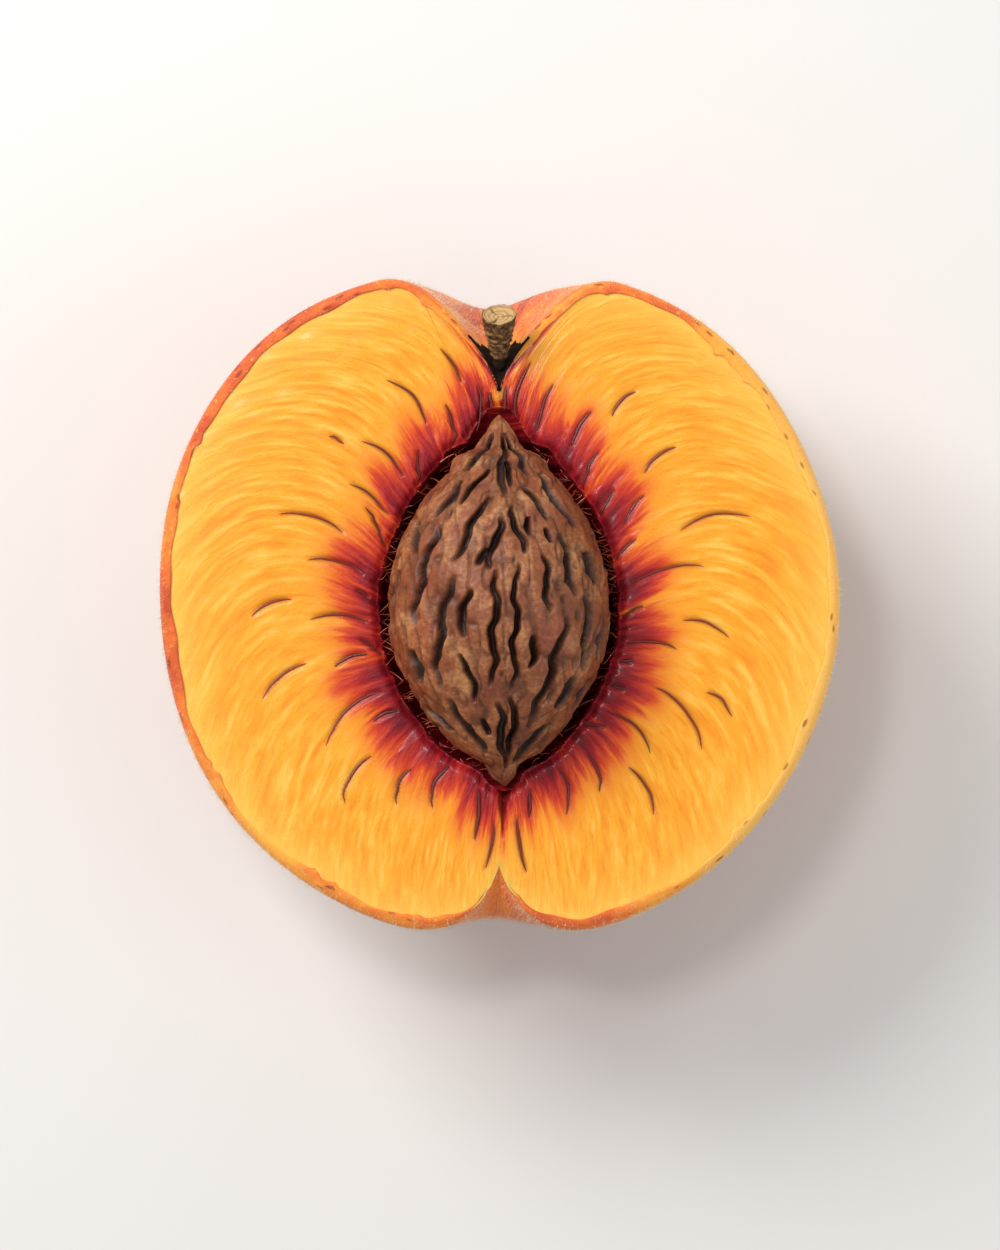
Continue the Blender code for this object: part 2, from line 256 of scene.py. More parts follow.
def colour(code: str) -> tuple[float, float, float, float]:
    """Turn an sRGB hex code into linear red, green, blue and full opacity."""
    values = [int(code[i:i + 2], 16) / 255.0 for i in (1, 3, 5)]
    linear = [v / 12.92 if v <= 0.04045 else ((v + 0.055) / 1.055) ** 2.4 for v in values]
    return (*linear, 1.0)


def add_node(tree: bpy.types.NodeTree, kind: str, inputs: dict, **settings) -> bpy.types.Node:
    """Add one node, set it up and link it.

    Args:
        tree: The material's node tree.
        kind: Blender's name of the node's type.
        inputs: Value, or socket to link from, by input name or number.
        **settings: The node's own properties; `stops` gives a colour ramp its (place, colour) pairs.

    Returns:
        The new node.
    """
    node = tree.nodes.new(kind)
    stops = settings.pop("stops", None)
    for key, value in settings.items():
        setattr(node, key, value)
    if stops is not None:
        ramp = node.color_ramp
        while len(ramp.elements) < len(stops):
            ramp.elements.new(0.5)
        for element, (place, shade) in zip(ramp.elements, stops):
            element.position = place
            element.color = shade
    for key, value in inputs.items():
        if isinstance(value, bpy.types.NodeSocket):
            tree.links.new(value, node.inputs[key])
        else:
            node.inputs[key].default_value = value
    return node


def new_material(name: str, settings: dict
                 ) -> tuple[bpy.types.Material, bpy.types.NodeTree, bpy.types.Node]:
    """Make a material whose shader is the same all over the surface, but for what is linked later.

    Args:
        name: The real material, and how its surface was made.
        settings: Value by name of the Principled shader's socket.

    Returns:
        The material, its node tree and its Principled shader.
    """
    material = bpy.data.materials.new(name)
    material.use_nodes = True
    shader = material.node_tree.nodes["Principled BSDF"]
    for socket, value in settings.items():
        shader.inputs[socket].default_value = value
    return material, material.node_tree, shader


@dataclass(frozen=True)
class RipeFlesh:
    """Flesh of a ripe yellow peach, cut with a knife.

    Golden and juicy, paler under the skin, and crimson where it was fast to the stone. To the eye
    that is a soft glow from light spread in the flesh, and small wet highlights on its fibres.
    """

    gold: str = "#F2A52B"
    deep: str = "#E88A1C"
    pale: str = "#F8C55C"
    scarlet: str = "#D8481F"
    crimson: str = "#9E1A22"
    wine: str = "#6E0E1A"
    # dark red of the painted shade in the grooves and the crease
    painted_shade_red: str = "#74160F"
    fibre_width: float = 0.55 * MM
    fibre_stretch: float = 0.12
    tongue_share: float = 0.18
    cell_size: float = 0.35 * MM
    relief: float = 0.10 * MM
    glow: float = 2.2 * MM

    def material(self) -> bpy.types.Material:
        """Build the flesh: colours along the fibres, red by the stone, painted shade in its grooves and
        crease, juice as a thin coat.
        """
        material, tree, shader = new_material("ripe_flesh_knife_cut", {
            "Roughness": 0.42, "IOR": 1.36, "Specular IOR Level": 0.3, "Subsurface Weight": 0.35,
            "Subsurface Radius": (1.0, 0.42, 0.12), "Subsurface Scale": self.glow,
            "Coat Weight": 0.3, "Coat Roughness": 0.16, "Coat IOR": 1.34})
        flow = add_node(tree, "ShaderNodeAttribute", {}, attribute_name="flow").outputs["Vector"]
        near, rim, core, painted_groove_shade = (
            add_node(tree, "ShaderNodeAttribute", {}, attribute_name=name).outputs["Fac"]
            for name in ("near", "rim", "core", "painted_groove_shade"))
        # fibres run outwards from the stone: the pattern is eight times longer that way
        along = add_node(tree, "ShaderNodeMapping", {
            "Vector": flow, "Scale": (1.0, 1.0, self.fibre_stretch)}).outputs[0]
        fibres = add_node(tree, "ShaderNodeTexNoise", {
            "Vector": along, "Scale": 1.0 / self.fibre_width, "Detail": 5.0,
            "Roughness": 0.6}).outputs["Fac"]
        tongues = add_node(tree, "ShaderNodeTexNoise", {
            "Vector": along, "Scale": self.tongue_share / self.fibre_width,
            "Detail": 3.0}).outputs["Fac"]
        golden = add_node(tree, "ShaderNodeValToRGB", {"Fac": fibres}, stops=[
            (0.30, colour(self.deep)), (0.52, colour(self.gold)), (0.74, colour(self.pale))])
        either = add_node(tree, "ShaderNodeMath", {0: rim, 1: core}, operation="MAXIMUM")
        paleness = add_node(tree, "ShaderNodeMath", {
            0: either.outputs[0], 1: 0.75}, operation="MULTIPLY")
        paler = add_node(tree, "ShaderNodeMix", {
            "Factor": paleness.outputs[0], "A": golden.outputs[0], "B": colour(self.pale)},
            data_type="RGBA")
        # the red reaches outwards in streaks, further where a broad tongue is, and leaves the
        # pale woody core free
        free = add_node(tree, "ShaderNodeMath", {0: 1.0, 1: core}, operation="SUBTRACT")
        reach = add_node(tree, "ShaderNodeMath", {0: near, 1: free.outputs[0]}, operation="MULTIPLY")
        broad = add_node(tree, "ShaderNodeMath", {
            0: tongues, 1: 1.7, 2: -0.68}, operation="MULTIPLY_ADD")
        fine = add_node(tree, "ShaderNodeMath", {
            0: fibres, 1: 1.2, 2: broad.outputs[0]}, operation="MULTIPLY_ADD")
        streaky = add_node(tree, "ShaderNodeMath", {
            0: reach.outputs[0], 1: fine.outputs[0]}, operation="MULTIPLY")
        redness = add_node(tree, "ShaderNodeMath", {
            0: reach.outputs[0], 1: 0.12, 2: streaky.outputs[0]},
            operation="MULTIPLY_ADD", use_clamp=True)
        blood = add_node(tree, "ShaderNodeValToRGB", {"Fac": redness.outputs[0]}, stops=[
            (0.10, colour(self.gold)), (0.42, colour(self.scarlet)), (0.72, colour(self.crimson)),
            (1.0, colour(self.wine))])
        weight = add_node(tree, "ShaderNodeMapRange", {
            "Value": redness.outputs[0], "From Min": 0.08, "From Max": 0.55},
            interpolation_type="SMOOTHSTEP")
        body = add_node(tree, "ShaderNodeMix", {
            "Factor": weight.outputs[0], "A": paler.outputs["Result"], "B": blood.outputs[0]},
            data_type="RGBA")
        # painted shade: the grooves beside the fibre bundles and the crease below the stone are
        # darkened towards a dark red
        shade = add_node(tree, "ShaderNodeMath", {0: painted_groove_shade, 1: 0.9}, operation="MULTIPLY")
        groove_shaded = add_node(tree, "ShaderNodeMix", {
            "Factor": shade.outputs[0], "A": body.outputs["Result"], "B": colour(self.painted_shade_red)},
            data_type="RGBA")
        tree.links.new(groove_shaded.outputs["Result"], shader.inputs["Base Color"])
        place = add_node(tree, "ShaderNodeTexCoord", {}).outputs["Object"]
        cells = add_node(tree, "ShaderNodeTexNoise", {
            "Vector": place, "Scale": 1.0 / self.cell_size, "Detail": 2.0})
        height = add_node(tree, "ShaderNodeMath", {
            0: cells.outputs["Fac"], 1: 0.55, 2: fibres}, operation="MULTIPLY_ADD")
        bump = add_node(tree, "ShaderNodeBump", {
            "Height": height.outputs[0], "Distance": self.relief, "Strength": 0.9})
        tree.links.new(bump.outputs[0], shader.inputs["Normal"])
        return material


@dataclass(frozen=True)
class DownySkin:
    """Skin of a ripe peach, grown in the sun on one side.

    Golden with a crimson blush that breaks up into streaks and specks, matt and velvety: the down
    scatters light, so that the skin pales towards its outline.
    """

    gold: str = "#F3A63C"
    straw: str = "#F6B957"
    orange: str = "#E2702A"
    crimson: str = "#A41E2A"
    plum: str = "#701626"
    fleck: str = "#7A2E16"
    cloud_size: float = 26 * MM
    streak_width: float = 1.5 * MM
    streak_stretch: float = 0.16
    mottle_size: float = 1.1 * MM
    speck_spacing: float = 1.3 * MM
    dash_spacing: float = 1.0 * MM
    dash_stretch: float = 0.38
    nap_size: float = 0.22 * MM
    nap_height: float = 0.03 * MM

    def material(self) -> bpy.types.Material:
        """Build the skin: blush over gold, streaks from stem to tip, specks, and a soft sheen."""
        material, tree, shader = new_material("ripe_skin_downy", {
            "Roughness": 0.72, "Specular IOR Level": 0.3, "Sheen Weight": 0.4, "Sheen Roughness": 0.45,
            "Sheen Tint": colour("#FFE9CF"), "Subsurface Weight": 0.12,
            "Subsurface Radius": (1.0, 0.35, 0.15), "Subsurface Scale": 0.5 * MM})
        place = add_node(tree, "ShaderNodeTexCoord", {}).outputs["Object"]
        grain, rolled = (
            add_node(tree, "ShaderNodeAttribute", {}, attribute_name=name).outputs["Vector"]
            for name in ("grain", "rolled"))
        blush, lip = (
            add_node(tree, "ShaderNodeAttribute", {}, attribute_name=name).outputs["Fac"]
            for name in ("blush", "lip"))
        cloud = add_node(tree, "ShaderNodeTexNoise", {
            "Vector": place, "Scale": 1.0 / self.cloud_size, "Detail": 4.0, "Roughness": 0.55})
        drawn_out = add_node(tree, "ShaderNodeMapping", {
            "Vector": grain, "Scale": (1.0, 1.0, self.streak_stretch)})
        streak = add_node(tree, "ShaderNodeTexNoise", {
            "Vector": drawn_out.outputs[0], "Scale": 1.0 / self.streak_width, "Detail": 5.0,
            "Roughness": 0.62})
        mottle = add_node(tree, "ShaderNodeTexNoise", {
            "Vector": place, "Scale": 1.0 / self.mottle_size, "Detail": 3.0})
        total = blush
        for pattern, share in ((cloud, 1.15), (streak, 0.50), (mottle, 0.22)):
            total = add_node(tree, "ShaderNodeMath", {
                0: pattern.outputs["Fac"], 1: share, 2: total}, operation="MULTIPLY_ADD").outputs[0]
        ripeness = add_node(tree, "ShaderNodeMapRange", {
            "Value": total, "From Min": 0.72, "From Max": 1.75})
        shade = add_node(tree, "ShaderNodeValToRGB", {"Fac": ripeness.outputs[0]}, stops=[
            (0.05, colour(self.straw)), (0.26, colour(self.gold)), (0.46, colour(self.orange)),
            (0.68, colour(self.crimson)), (0.95, colour(self.plum))])
        specks = add_node(tree, "ShaderNodeTexVoronoi", {
            "Vector": place, "Scale": 1.0 / self.speck_spacing, "Randomness": 1.0}, feature="F1")
        speck = add_node(tree, "ShaderNodeMapRange", {
            "Value": specks.outputs["Distance"], "From Min": 0.10, "From Max": 0.20,
            "To Min": 0.45, "To Max": 0.0})
        dotted = add_node(tree, "ShaderNodeMix", {
            "Factor": speck.outputs[0], "A": shade.outputs[0], "B": colour(self.straw)},
            data_type="RGBA")
        # short dark dashes along the rim, where the knife has bruised the skin
        lengthened = add_node(tree, "ShaderNodeMapping", {
            "Vector": rolled, "Scale": (self.dash_stretch, 1.0, 1.0)})
        dashes = add_node(tree, "ShaderNodeTexVoronoi", {
            "Vector": lengthened.outputs[0], "Scale": 1.0 / self.dash_spacing, "Randomness": 1.0},
            feature="F1")
        dash = add_node(tree, "ShaderNodeMapRange", {
            "Value": dashes.outputs["Distance"], "From Min": 0.14, "From Max": 0.24,
            "To Min": 0.7, "To Max": 0.0})
        by_rim = add_node(tree, "ShaderNodeMath", {0: dash.outputs[0], 1: lip}, operation="MULTIPLY")
        marked = add_node(tree, "ShaderNodeMix", {
            "Factor": by_rim.outputs[0], "A": dotted.outputs["Result"], "B": colour(self.fleck)},
            data_type="RGBA")
        tree.links.new(marked.outputs["Result"], shader.inputs["Base Color"])
        nap = add_node(tree, "ShaderNodeTexNoise", {
            "Vector": place, "Scale": 1.0 / self.nap_size, "Detail": 3.0})
        bump = add_node(tree, "ShaderNodeBump", {
            "Height": nap.outputs["Fac"], "Distance": self.nap_height, "Strength": 0.5})
        tree.links.new(bump.outputs[0], shader.inputs["Normal"])
        return material


@dataclass(frozen=True)
class StoneShell:
    """The hard shell of the stone, grown woody and just freed from the flesh.

    Warm brown on its ridges, nearly black in its furrows, pits and veins as painted shade, a little
    damp all over, with red flesh left in places.
    """

    ridge: str = "#BC8656"
    brown: str = "#8A4E2E"
    umber: str = "#6A3520"
    # colour of the painted shade in the furrows, pits and veins
    dark: str = "#1E0C07"
    stain: str = "#8E2A1C"
    patch_size: float = 3.2 * MM
    grain_size: float = 0.45 * MM
    grain_height: float = 0.14 * MM

    def material(self) -> bpy.types.Material:
        """Build the shell: browns in patches, painted shade in the furrows, pits and veins, stained,
        and finely rough.
        """
        material, tree, shader = new_material("stone_shell_woody", {
            "Roughness": 0.55, "IOR": 1.5, "Specular IOR Level": 0.3, "Coat Weight": 0.12,
            "Coat Roughness": 0.3})
        place = add_node(tree, "ShaderNodeTexCoord", {}).outputs["Object"]
        furrow, stain = (
            add_node(tree, "ShaderNodeAttribute", {}, attribute_name=name).outputs["Fac"]
            for name in ("furrow", "stain"))
        patch = add_node(tree, "ShaderNodeTexNoise", {
            "Vector": place, "Scale": 1.0 / self.patch_size, "Detail": 5.0, "Roughness": 0.6})
        grain = add_node(tree, "ShaderNodeTexNoise", {
            "Vector": place, "Scale": 1.0 / self.grain_size, "Detail": 4.0, "Roughness": 0.65})
        mixed = add_node(tree, "ShaderNodeMath", {
            0: grain.outputs["Fac"], 1: 0.5, 2: patch.outputs["Fac"]}, operation="MULTIPLY_ADD")
        level = add_node(tree, "ShaderNodeMapRange", {
            "Value": mixed.outputs[0], "From Min": 0.50, "From Max": 1.02})
        wood = add_node(tree, "ShaderNodeValToRGB", {"Fac": level.outputs[0]}, stops=[
            (0.0, colour(self.umber)), (0.5, colour(self.brown)), (1.0, colour(self.ridge))])
        stained = add_node(tree, "ShaderNodeMix", {
            "Factor": stain, "A": wood.outputs[0], "B": colour(self.stain)}, data_type="RGBA")
        # painted shade: furrows, pits and veins mixed towards near black
        furrow_shaded = add_node(tree, "ShaderNodeMix", {
            "Factor": furrow, "A": stained.outputs["Result"], "B": colour(self.dark)}, data_type="RGBA")
        tree.links.new(furrow_shaded.outputs["Result"], shader.inputs["Base Color"])
        bump = add_node(tree, "ShaderNodeBump", {
            "Height": grain.outputs["Fac"], "Distance": self.grain_height, "Strength": 0.8})
        tree.links.new(bump.outputs[0], shader.inputs["Normal"])
        return material


@dataclass(frozen=True)
class StemBark:
    """Bark and broken end of a peach twig, dried in the air: dull brown, with a pale woody end."""

    bark: str = "#6E4E30"
    light: str = "#A07C50"
    wood: str = "#C9A471"
    # dark of the bark's mottle and the end's grain, and of the painted shade in grooves, foot and
    # splits
    shade_and_dark_grain: str = "#22140C"
    mottle_size: float = 0.5 * MM
    mottle_height: float = 0.10 * MM

    def material(self) -> bpy.types.Material:
        """Build the bark: mottled brown, dark between its rings, at its foot and in the end's splits as
        painted shade, and pale on the broken end.
        """
        material, tree, shader = new_material("stem_bark_dry", {
            "Roughness": 0.85, "Specular IOR Level": 0.2})
        place = add_node(tree, "ShaderNodeTexCoord", {}).outputs["Object"]
        end, shade_and_dark_grain = (
            add_node(tree, "ShaderNodeAttribute", {}, attribute_name=name).outputs["Fac"]
            for name in ("end", "shade_and_dark_grain"))
        mottle = add_node(tree, "ShaderNodeTexNoise", {
            "Vector": place, "Scale": 1.0 / self.mottle_size, "Detail": 5.0, "Roughness": 0.65})
        bark = add_node(tree, "ShaderNodeValToRGB", {"Fac": mottle.outputs["Fac"]}, stops=[
            (0.32, colour(self.shade_and_dark_grain)), (0.48, colour(self.bark)), (0.70, colour(self.light))])
        ended = add_node(tree, "ShaderNodeMix", {
            "Factor": end, "A": bark.outputs[0], "B": colour(self.wood)}, data_type="RGBA")
        shaded_and_grained = add_node(tree, "ShaderNodeMix", {
            "Factor": shade_and_dark_grain, "A": ended.outputs["Result"], "B": colour(self.shade_and_dark_grain)}, data_type="RGBA")
        tree.links.new(shaded_and_grained.outputs["Result"], shader.inputs["Base Color"])
        bump = add_node(tree, "ShaderNodeBump", {
            "Height": mottle.outputs["Fac"], "Distance": self.mottle_height, "Strength": 0.9})
        tree.links.new(bump.outputs[0], shader.inputs["Normal"])
        return material


@dataclass(frozen=True)
class CorkAndPaintedShade:
    """Cork that heals the skin round the stem: dry, rough, and painted nearly black for the shade deep
    in the hollow by the pit.
    """

    dark: str = "#140A06"
    brown: str = "#2E1A0F"
    grain_size: float = 0.4 * MM
    grain_height: float = 0.08 * MM

    def material(self) -> bpy.types.Material:
        """Build the cork: two dark browns in grains that paint the hollow's shade, matt, with a crumbly
        surface.
        """
        material, tree, shader = new_material("scar_cork_painted_shade", {
            "Roughness": 0.95, "Specular IOR Level": 0.15})
        place = add_node(tree, "ShaderNodeTexCoord", {}).outputs["Object"]
        grain = add_node(tree, "ShaderNodeTexNoise", {
            "Vector": place, "Scale": 1.0 / self.grain_size, "Detail": 4.0, "Roughness": 0.6})
        shade = add_node(tree, "ShaderNodeValToRGB", {"Fac": grain.outputs["Fac"]}, stops=[
            (0.40, colour(self.dark)), (0.70, colour(self.brown))])
        tree.links.new(shade.outputs[0], shader.inputs["Base Color"])
        bump = add_node(tree, "ShaderNodeBump", {
            "Height": grain.outputs["Fac"], "Distance": self.grain_height, "Strength": 0.8})
        tree.links.new(bump.outputs[0], shader.inputs["Normal"])
        return material


@dataclass(frozen=True)
class FineThread:
    """Something thin in one tone: a fibre of flesh, wet with juice, or a dry hair of the down."""

    name: str
    light: str
    dark: str
    roughness: float
    coat: float = 0.0
    sheen: float = 0.0

    def material(self) -> bpy.types.Material:
        """Build the thread: each one its own shade between the light and the dark colour."""
        material, tree, shader = new_material(self.name, {
            "Roughness": self.roughness, "Coat Weight": self.coat, "Sheen Weight": self.sheen})
        own = add_node(tree, "ShaderNodeAttribute", {}, attribute_name="shade").outputs["Fac"]
        shade = add_node(tree, "ShaderNodeValToRGB", {"Fac": own}, stops=[
            (0.0, colour(self.dark)), (1.0, colour(self.light))])
        tree.links.new(shade.outputs[0], shader.inputs["Base Color"])
        return material


# ---------------------------------------------------------------- the fruit's form


@dataclass(frozen=True)
class Hollow:
    """A round hollow on the fruit's axis: a curved cone that ends in a fine point."""

    depth: float
    radius: float
    curve: float
    end_depth: float
    end_radius: float

    def depth_at(self, distance: Array) -> Array:
        """Depth = cone that thins to nought at the radius, plus an exponential point."""
        cone = self.depth * np.clip(1.0 - distance / self.radius, 0.0, None) ** self.curve
        return cone + self.end_depth * np.exp(-distance / self.end_radius)


@dataclass
class Fruit:
    """The fruit's outer form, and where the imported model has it."""

    radius: float = 34.8 * MM
    width_ratio: float = 1.006
    depth_ratio: float = 0.97
    shoulder_angle: float = math.radians(39)
    shoulder_spread: float = math.radians(25)
    left_fullness: float = 1.7 * MM
    right_fullness: float = 1.0 * MM
    cheek_angle: float = math.radians(70)
    cheek_spread: float = math.radians(15)
    left_cheek: float = 0.4 * MM
    tip_slimness: float = 0.3 * MM
    tip_slim_angle: float = math.radians(95)
    tip_slim_spread: float = math.radians(12)
    unevenness: float = 0.25 * MM
    fine_unevenness: float = 0.15 * MM
    stem_hollow: Hollow = Hollow(11.8 * MM, 12.5 * MM, 1.9, 1.2 * MM, 0.45 * MM)
    tip_dimple: Hollow = Hollow(4.4 * MM, 13.5 * MM, 2.8, 3.6 * MM, 1.8 * MM)
    suture_at_shoulder: float = 2.9 * MM
    suture_at_tip: float = 0.7 * MM
    suture_halfway: float = 0.35 * MM
    suture_half_width: float = 5.8 * MM
    suture_offset: float = -1.5 * MM
    suture_start_radius: float = 6 * MM
    lip_radius: float = 1.2 * MM
    lip_start_radius: float = 5 * MM
    rest_flat_depth: float = 1.0 * MM
    steps: int = 440
    origin: Array = field(default_factory=lambda: np.zeros(3))
    turns: Array = field(default_factory=lambda: np.zeros(0))

    def __post_init__(self) -> None:
        """Space the outline's points evenly, and find the fruit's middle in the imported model."""
        fine = np.linspace(0.0, math.pi, 6000)
        points = self.surface(fine, 0.0)
        walked = np.concatenate([[0.0], np.cumsum(np.linalg.norm(np.diff(points, axis=0), axis=1))])
        self.turns = np.interp(np.linspace(0.0, walked[-1], self.steps + 1), walked, fine)
        low, high = (np.array(corner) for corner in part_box("flesh"))
        turn, way = np.meshgrid(np.linspace(0, math.pi, 400), np.linspace(0, math.pi, 200))
        own = self.surface(turn, way).reshape(-1, 3)
        middle = (low + high - own.min(axis=0) - own.max(axis=0)) / 2.0
        self.origin = np.array([middle[0], middle[1], high[2]])

    def suture(self, turn: Array, distance: Array, x: Array) -> Array:
        """Depth of the fold down the back: bell curves at both ends plus a constant, narrow across."""
        along = (self.suture_at_shoulder * np.exp(-(turn / 0.62) ** 2)
                 + self.suture_at_tip * np.exp(-((math.pi - turn) / 0.60) ** 2) + self.suture_halfway)
        across = np.exp(-((x - self.suture_offset) / self.suture_half_width) ** 2)
        return along * across * np.clip(distance / self.suture_start_radius, 0.0, 1.0) ** 2

    def surface(self, turn: Array | float, way: Array | float) -> Array:
        """Points on the skin, in the fruit's own frame.

        A ball with a fuller shoulder and left cheek, a slimmer tip and a slight wave, its two ends
        let in by the hollows, and drawn in towards the middle along the suture; what is below the
        resting flat is level.

        Args:
            turn: Angle from the stem, 0, to the tip, pi.
            way: Angle round the axis from the right of the cut, 0, over the back to its left, pi.

        Returns:
            Points, x, y and z along the last axis.
        """
        turn, way = np.broadcast_arrays(np.asarray(turn, float), np.asarray(way, float))
        share = 0.5 + 0.5 * np.cos(way)
        fullness = self.left_fullness + (self.right_fullness - self.left_fullness) * share
        shoulder = fullness * np.exp(-((turn - self.shoulder_angle) / self.shoulder_spread) ** 2)
        cheek = self.left_cheek * (1.0 - share) * np.exp(
            -((turn - self.cheek_angle) / self.cheek_spread) ** 2)
        slim = self.tip_slimness * (0.5 + 0.5 * np.tanh(
            (turn - self.tip_slim_angle) / self.tip_slim_spread))
        wave = (self.unevenness * np.sin(3.0 * turn + 0.7) * np.sin(2.0 * way + 0.4)
                + self.fine_unevenness * np.sin(5.0 * turn + 3.0 * way))
        radius = self.radius + shoulder + cheek - slim + wave * np.sin(turn)
        distance = radius * np.sin(turn)
        x = distance * np.cos(way) * self.width_ratio
        z = -distance * np.sin(way) * self.depth_ratio
        ends = np.where(turn < math.pi / 2, self.stem_hollow.depth_at(distance),
                        -self.tip_dimple.depth_at(distance))
        points = np.stack([x, radius * np.cos(turn) - ends, z], axis=-1)
        inward = self.suture(turn, distance, x) * np.sin(way) ** 2
        points *= (1.0 - inward / np.linalg.norm(points, axis=-1))[..., None]
        rest = self.radius * self.depth_ratio - self.rest_flat_depth
        points[..., 2] = np.maximum(points[..., 2], -rest)
        return points

    def lip(self, distance: Array) -> Array:
        """Radius of the rolled rim, nought where the rim meets the fruit's axis."""
        return self.lip_radius * np.clip(distance / self.lip_start_radius, 0.0, 1.0)

    def way_at(self, depth: Array, distance: Array) -> Array:
        """Angle round the axis at which the skin is a certain depth below the cut."""
        reach = np.maximum(distance * self.depth_ratio, 1e-7)
        return np.arcsin(np.clip(depth / reach, 0.0, 1.0))

    def rim_ring(self, roll: float, ragged: Array | float = 0.0) -> Array:
        """A closed ring of the rolled rim, a quarter circle from the cut face to the outer line.

        Args:
            roll: 0 on the cut face, 1 at the outermost line.
            ragged: Share by which the lip is wider or narrower, for each point of the ring.

        Returns:
            Points of the ring: right side from stem to tip, then the left side back.
        """
        extra = np.broadcast_to(ragged, 2 * self.steps)
        halves = []
        for side in Side:
            flat = self.surface(self.turns, 0.0 if side is Side.RIGHT else math.pi)
            lip = self.lip(np.abs(flat[:, 0]))
            wide = extra[:self.steps + 1] if side is Side.RIGHT else np.append(
                extra[0], extra[:self.steps - 1:-1])
            depth = lip * (1.0 - math.cos(roll * math.pi / 2))
            inset = lip * (1.0 - math.sin(roll * math.pi / 2)) * (1.0 + wide * (1.0 - roll))
            way = self.way_at(depth, np.abs(flat[:, 0]))
            points = self.surface(self.turns, way if side is Side.RIGHT else math.pi - way)
            along = np.gradient(flat, axis=0)
            inward = unit(side.value * np.stack([along[:, 1], -along[:, 0], 0.0 * along[:, 0]], axis=1))
            points = points + inward * inset[:, None]
            points[[0, -1]] = flat[[0, -1]]
            halves.append(points)
        return self.ring(*halves)

    def back_ring(self, share: float) -> Array:
        """A closed ring of the back, from the rim's outer line, 0, to the middle of the back, 1."""
        distance = np.abs(self.surface(self.turns, 0.0)[:, 0])
        first = self.way_at(self.lip(distance), distance)
        way = first + (math.pi / 2 - first) * share
        return self.ring(self.surface(self.turns, way), self.surface(self.turns, math.pi - way))

    @staticmethod
    def ring(right: Array, left: Array) -> Array:
        """Join a right and a left row from stem to tip, which share their ends, into one ring."""
        return np.concatenate([right, left[-2:0:-1]])

    def ring_angles(self) -> Array:
        """Angle of each ring point: 0 at the stem, a quarter turn at the right, half at the tip."""
        return np.arange(2 * self.steps) * math.pi / self.steps


@dataclass
class StoneForm:
    """The stone's smooth form, and the hollow in the flesh that it lies in."""

    upper_length: float = 17.1 * MM
    lower_length: float = 18.0 * MM
    half_width: float = 11.5 * MM
    half_thickness: float = 12.6 * MM
    widest_y: float = -0.4 * MM
    upper_curve: float = 0.64
    lower_curve: float = 0.93
    nib_length: float = 3.0 * MM
    nib_slope: float = 0.62
    nib_rounding: float = 0.4 * MM
    shoulder: float = 1.1 * MM
    shoulder_y: float = 15.4 * MM
    shoulder_reach: float = 0.9 * MM
    pinch: float = 1.0 * MM
    pinch_y: float = -16.25 * MM
    pinch_reach: float = 0.95 * MM
    bend: float = 0.6 * MM
    gap_at_cut: float = 0.85 * MM
    gap_below: float = 0.7 * MM
    gap_closing: float = 0.45
    gap_closing_reach: float = 3.0 * MM

    @property
    def top(self) -> float:
        """Height of the nib's end along the fruit's axis."""
        return self.widest_y + self.upper_length + self.nib_length

    @property
    def bottom(self) -> float:
        """Height of the lower end along the fruit's axis."""
        return self.widest_y - self.lower_length

    def width_at(self, y: Array) -> Array:
        """Half width as a share of the largest.

        Powers of 1 - t squared on both sides of the widest place, a bell more at the shoulders, a
        bell less near the lower end, and never less than the nib.
        """
        up = np.clip((y - self.widest_y) / self.upper_length, 0.0, 1.0)
        down = np.clip((self.widest_y - y) / self.lower_length, 0.0, 1.0)
        almond = np.where(y > self.widest_y, (1.0 - up ** 2) ** self.upper_curve,
                          (1.0 - down ** 2) ** self.lower_curve)
        shoulder = self.shoulder * np.exp(-((y - self.shoulder_y) / self.shoulder_reach) ** 2)
        pinch = self.pinch * np.exp(-((y - self.pinch_y) / self.pinch_reach) ** 2)
        almond = np.maximum(almond + (shoulder - pinch) / self.half_width, 0.0)
        from_top = np.clip(self.top - y, 0.0, None)
        nib = (self.nib_slope * from_top
               + self.nib_rounding * (1.0 - np.exp(-from_top / self.nib_rounding)))
        nib = np.where(from_top < 1.5 * self.nib_length, nib / self.half_width, 0.0)
        return np.maximum(almond, nib)

    def bend_at(self, y: Array) -> Array:
        """How far the lower end lies to the right: a sixth power of the way down."""
        down = np.clip((self.widest_y - y) / self.lower_length, 0.0, 1.0)
        return self.bend * down ** 6

    def heights(self, steps: int) -> Array:
        """Heights from the nib to the lower end, by a cosine, so that they are close at the ends."""
        walk = 0.5 - 0.5 * np.cos(np.linspace(0.0, math.pi, steps + 1))
        return self.top + (self.bottom - self.top) * walk

    def hollow_side(self, steps: int, share: float, side: Side) -> Array:
        """One side of a ring of the hollow in the flesh.

        The stone's form, larger by the gap: an ellipse across, stretched along the axis. A bell
        curve narrows the gap towards the lower end.

        Args:
            steps: Number of steps from the nib to the lower end.
            share: 0 at the cut face, 1 along the deepest line.
            side: Which side of the cut face.

        Returns:
            Points from the stem's end to the tip's.
        """
        y = self.heights(steps)
        width = self.width_at(y)
        middle = 0.5 * (self.top + self.bottom)
        closing = 1.0 - self.gap_closing * np.exp(-((y - self.bottom) / self.gap_closing_reach) ** 2)
        gap = (self.gap_at_cut + (self.gap_below - self.gap_at_cut) * share) * closing
        stretch = 1.0 + 2.0 * gap / (self.top - self.bottom)
        ease = np.sqrt(np.clip(width * self.half_width / self.nib_rounding, 0.0, 1.0))
        angle = share * math.pi / 2
        x = side.value * (self.half_width * width + gap * ease) * math.cos(angle)
        z = -(self.half_thickness * width + gap * ease) * math.sin(angle)
        return np.stack([x + self.bend_at(y), middle + (y - middle) * stretch, z], axis=1)


# ---------------------------------------------------------------- the pieces


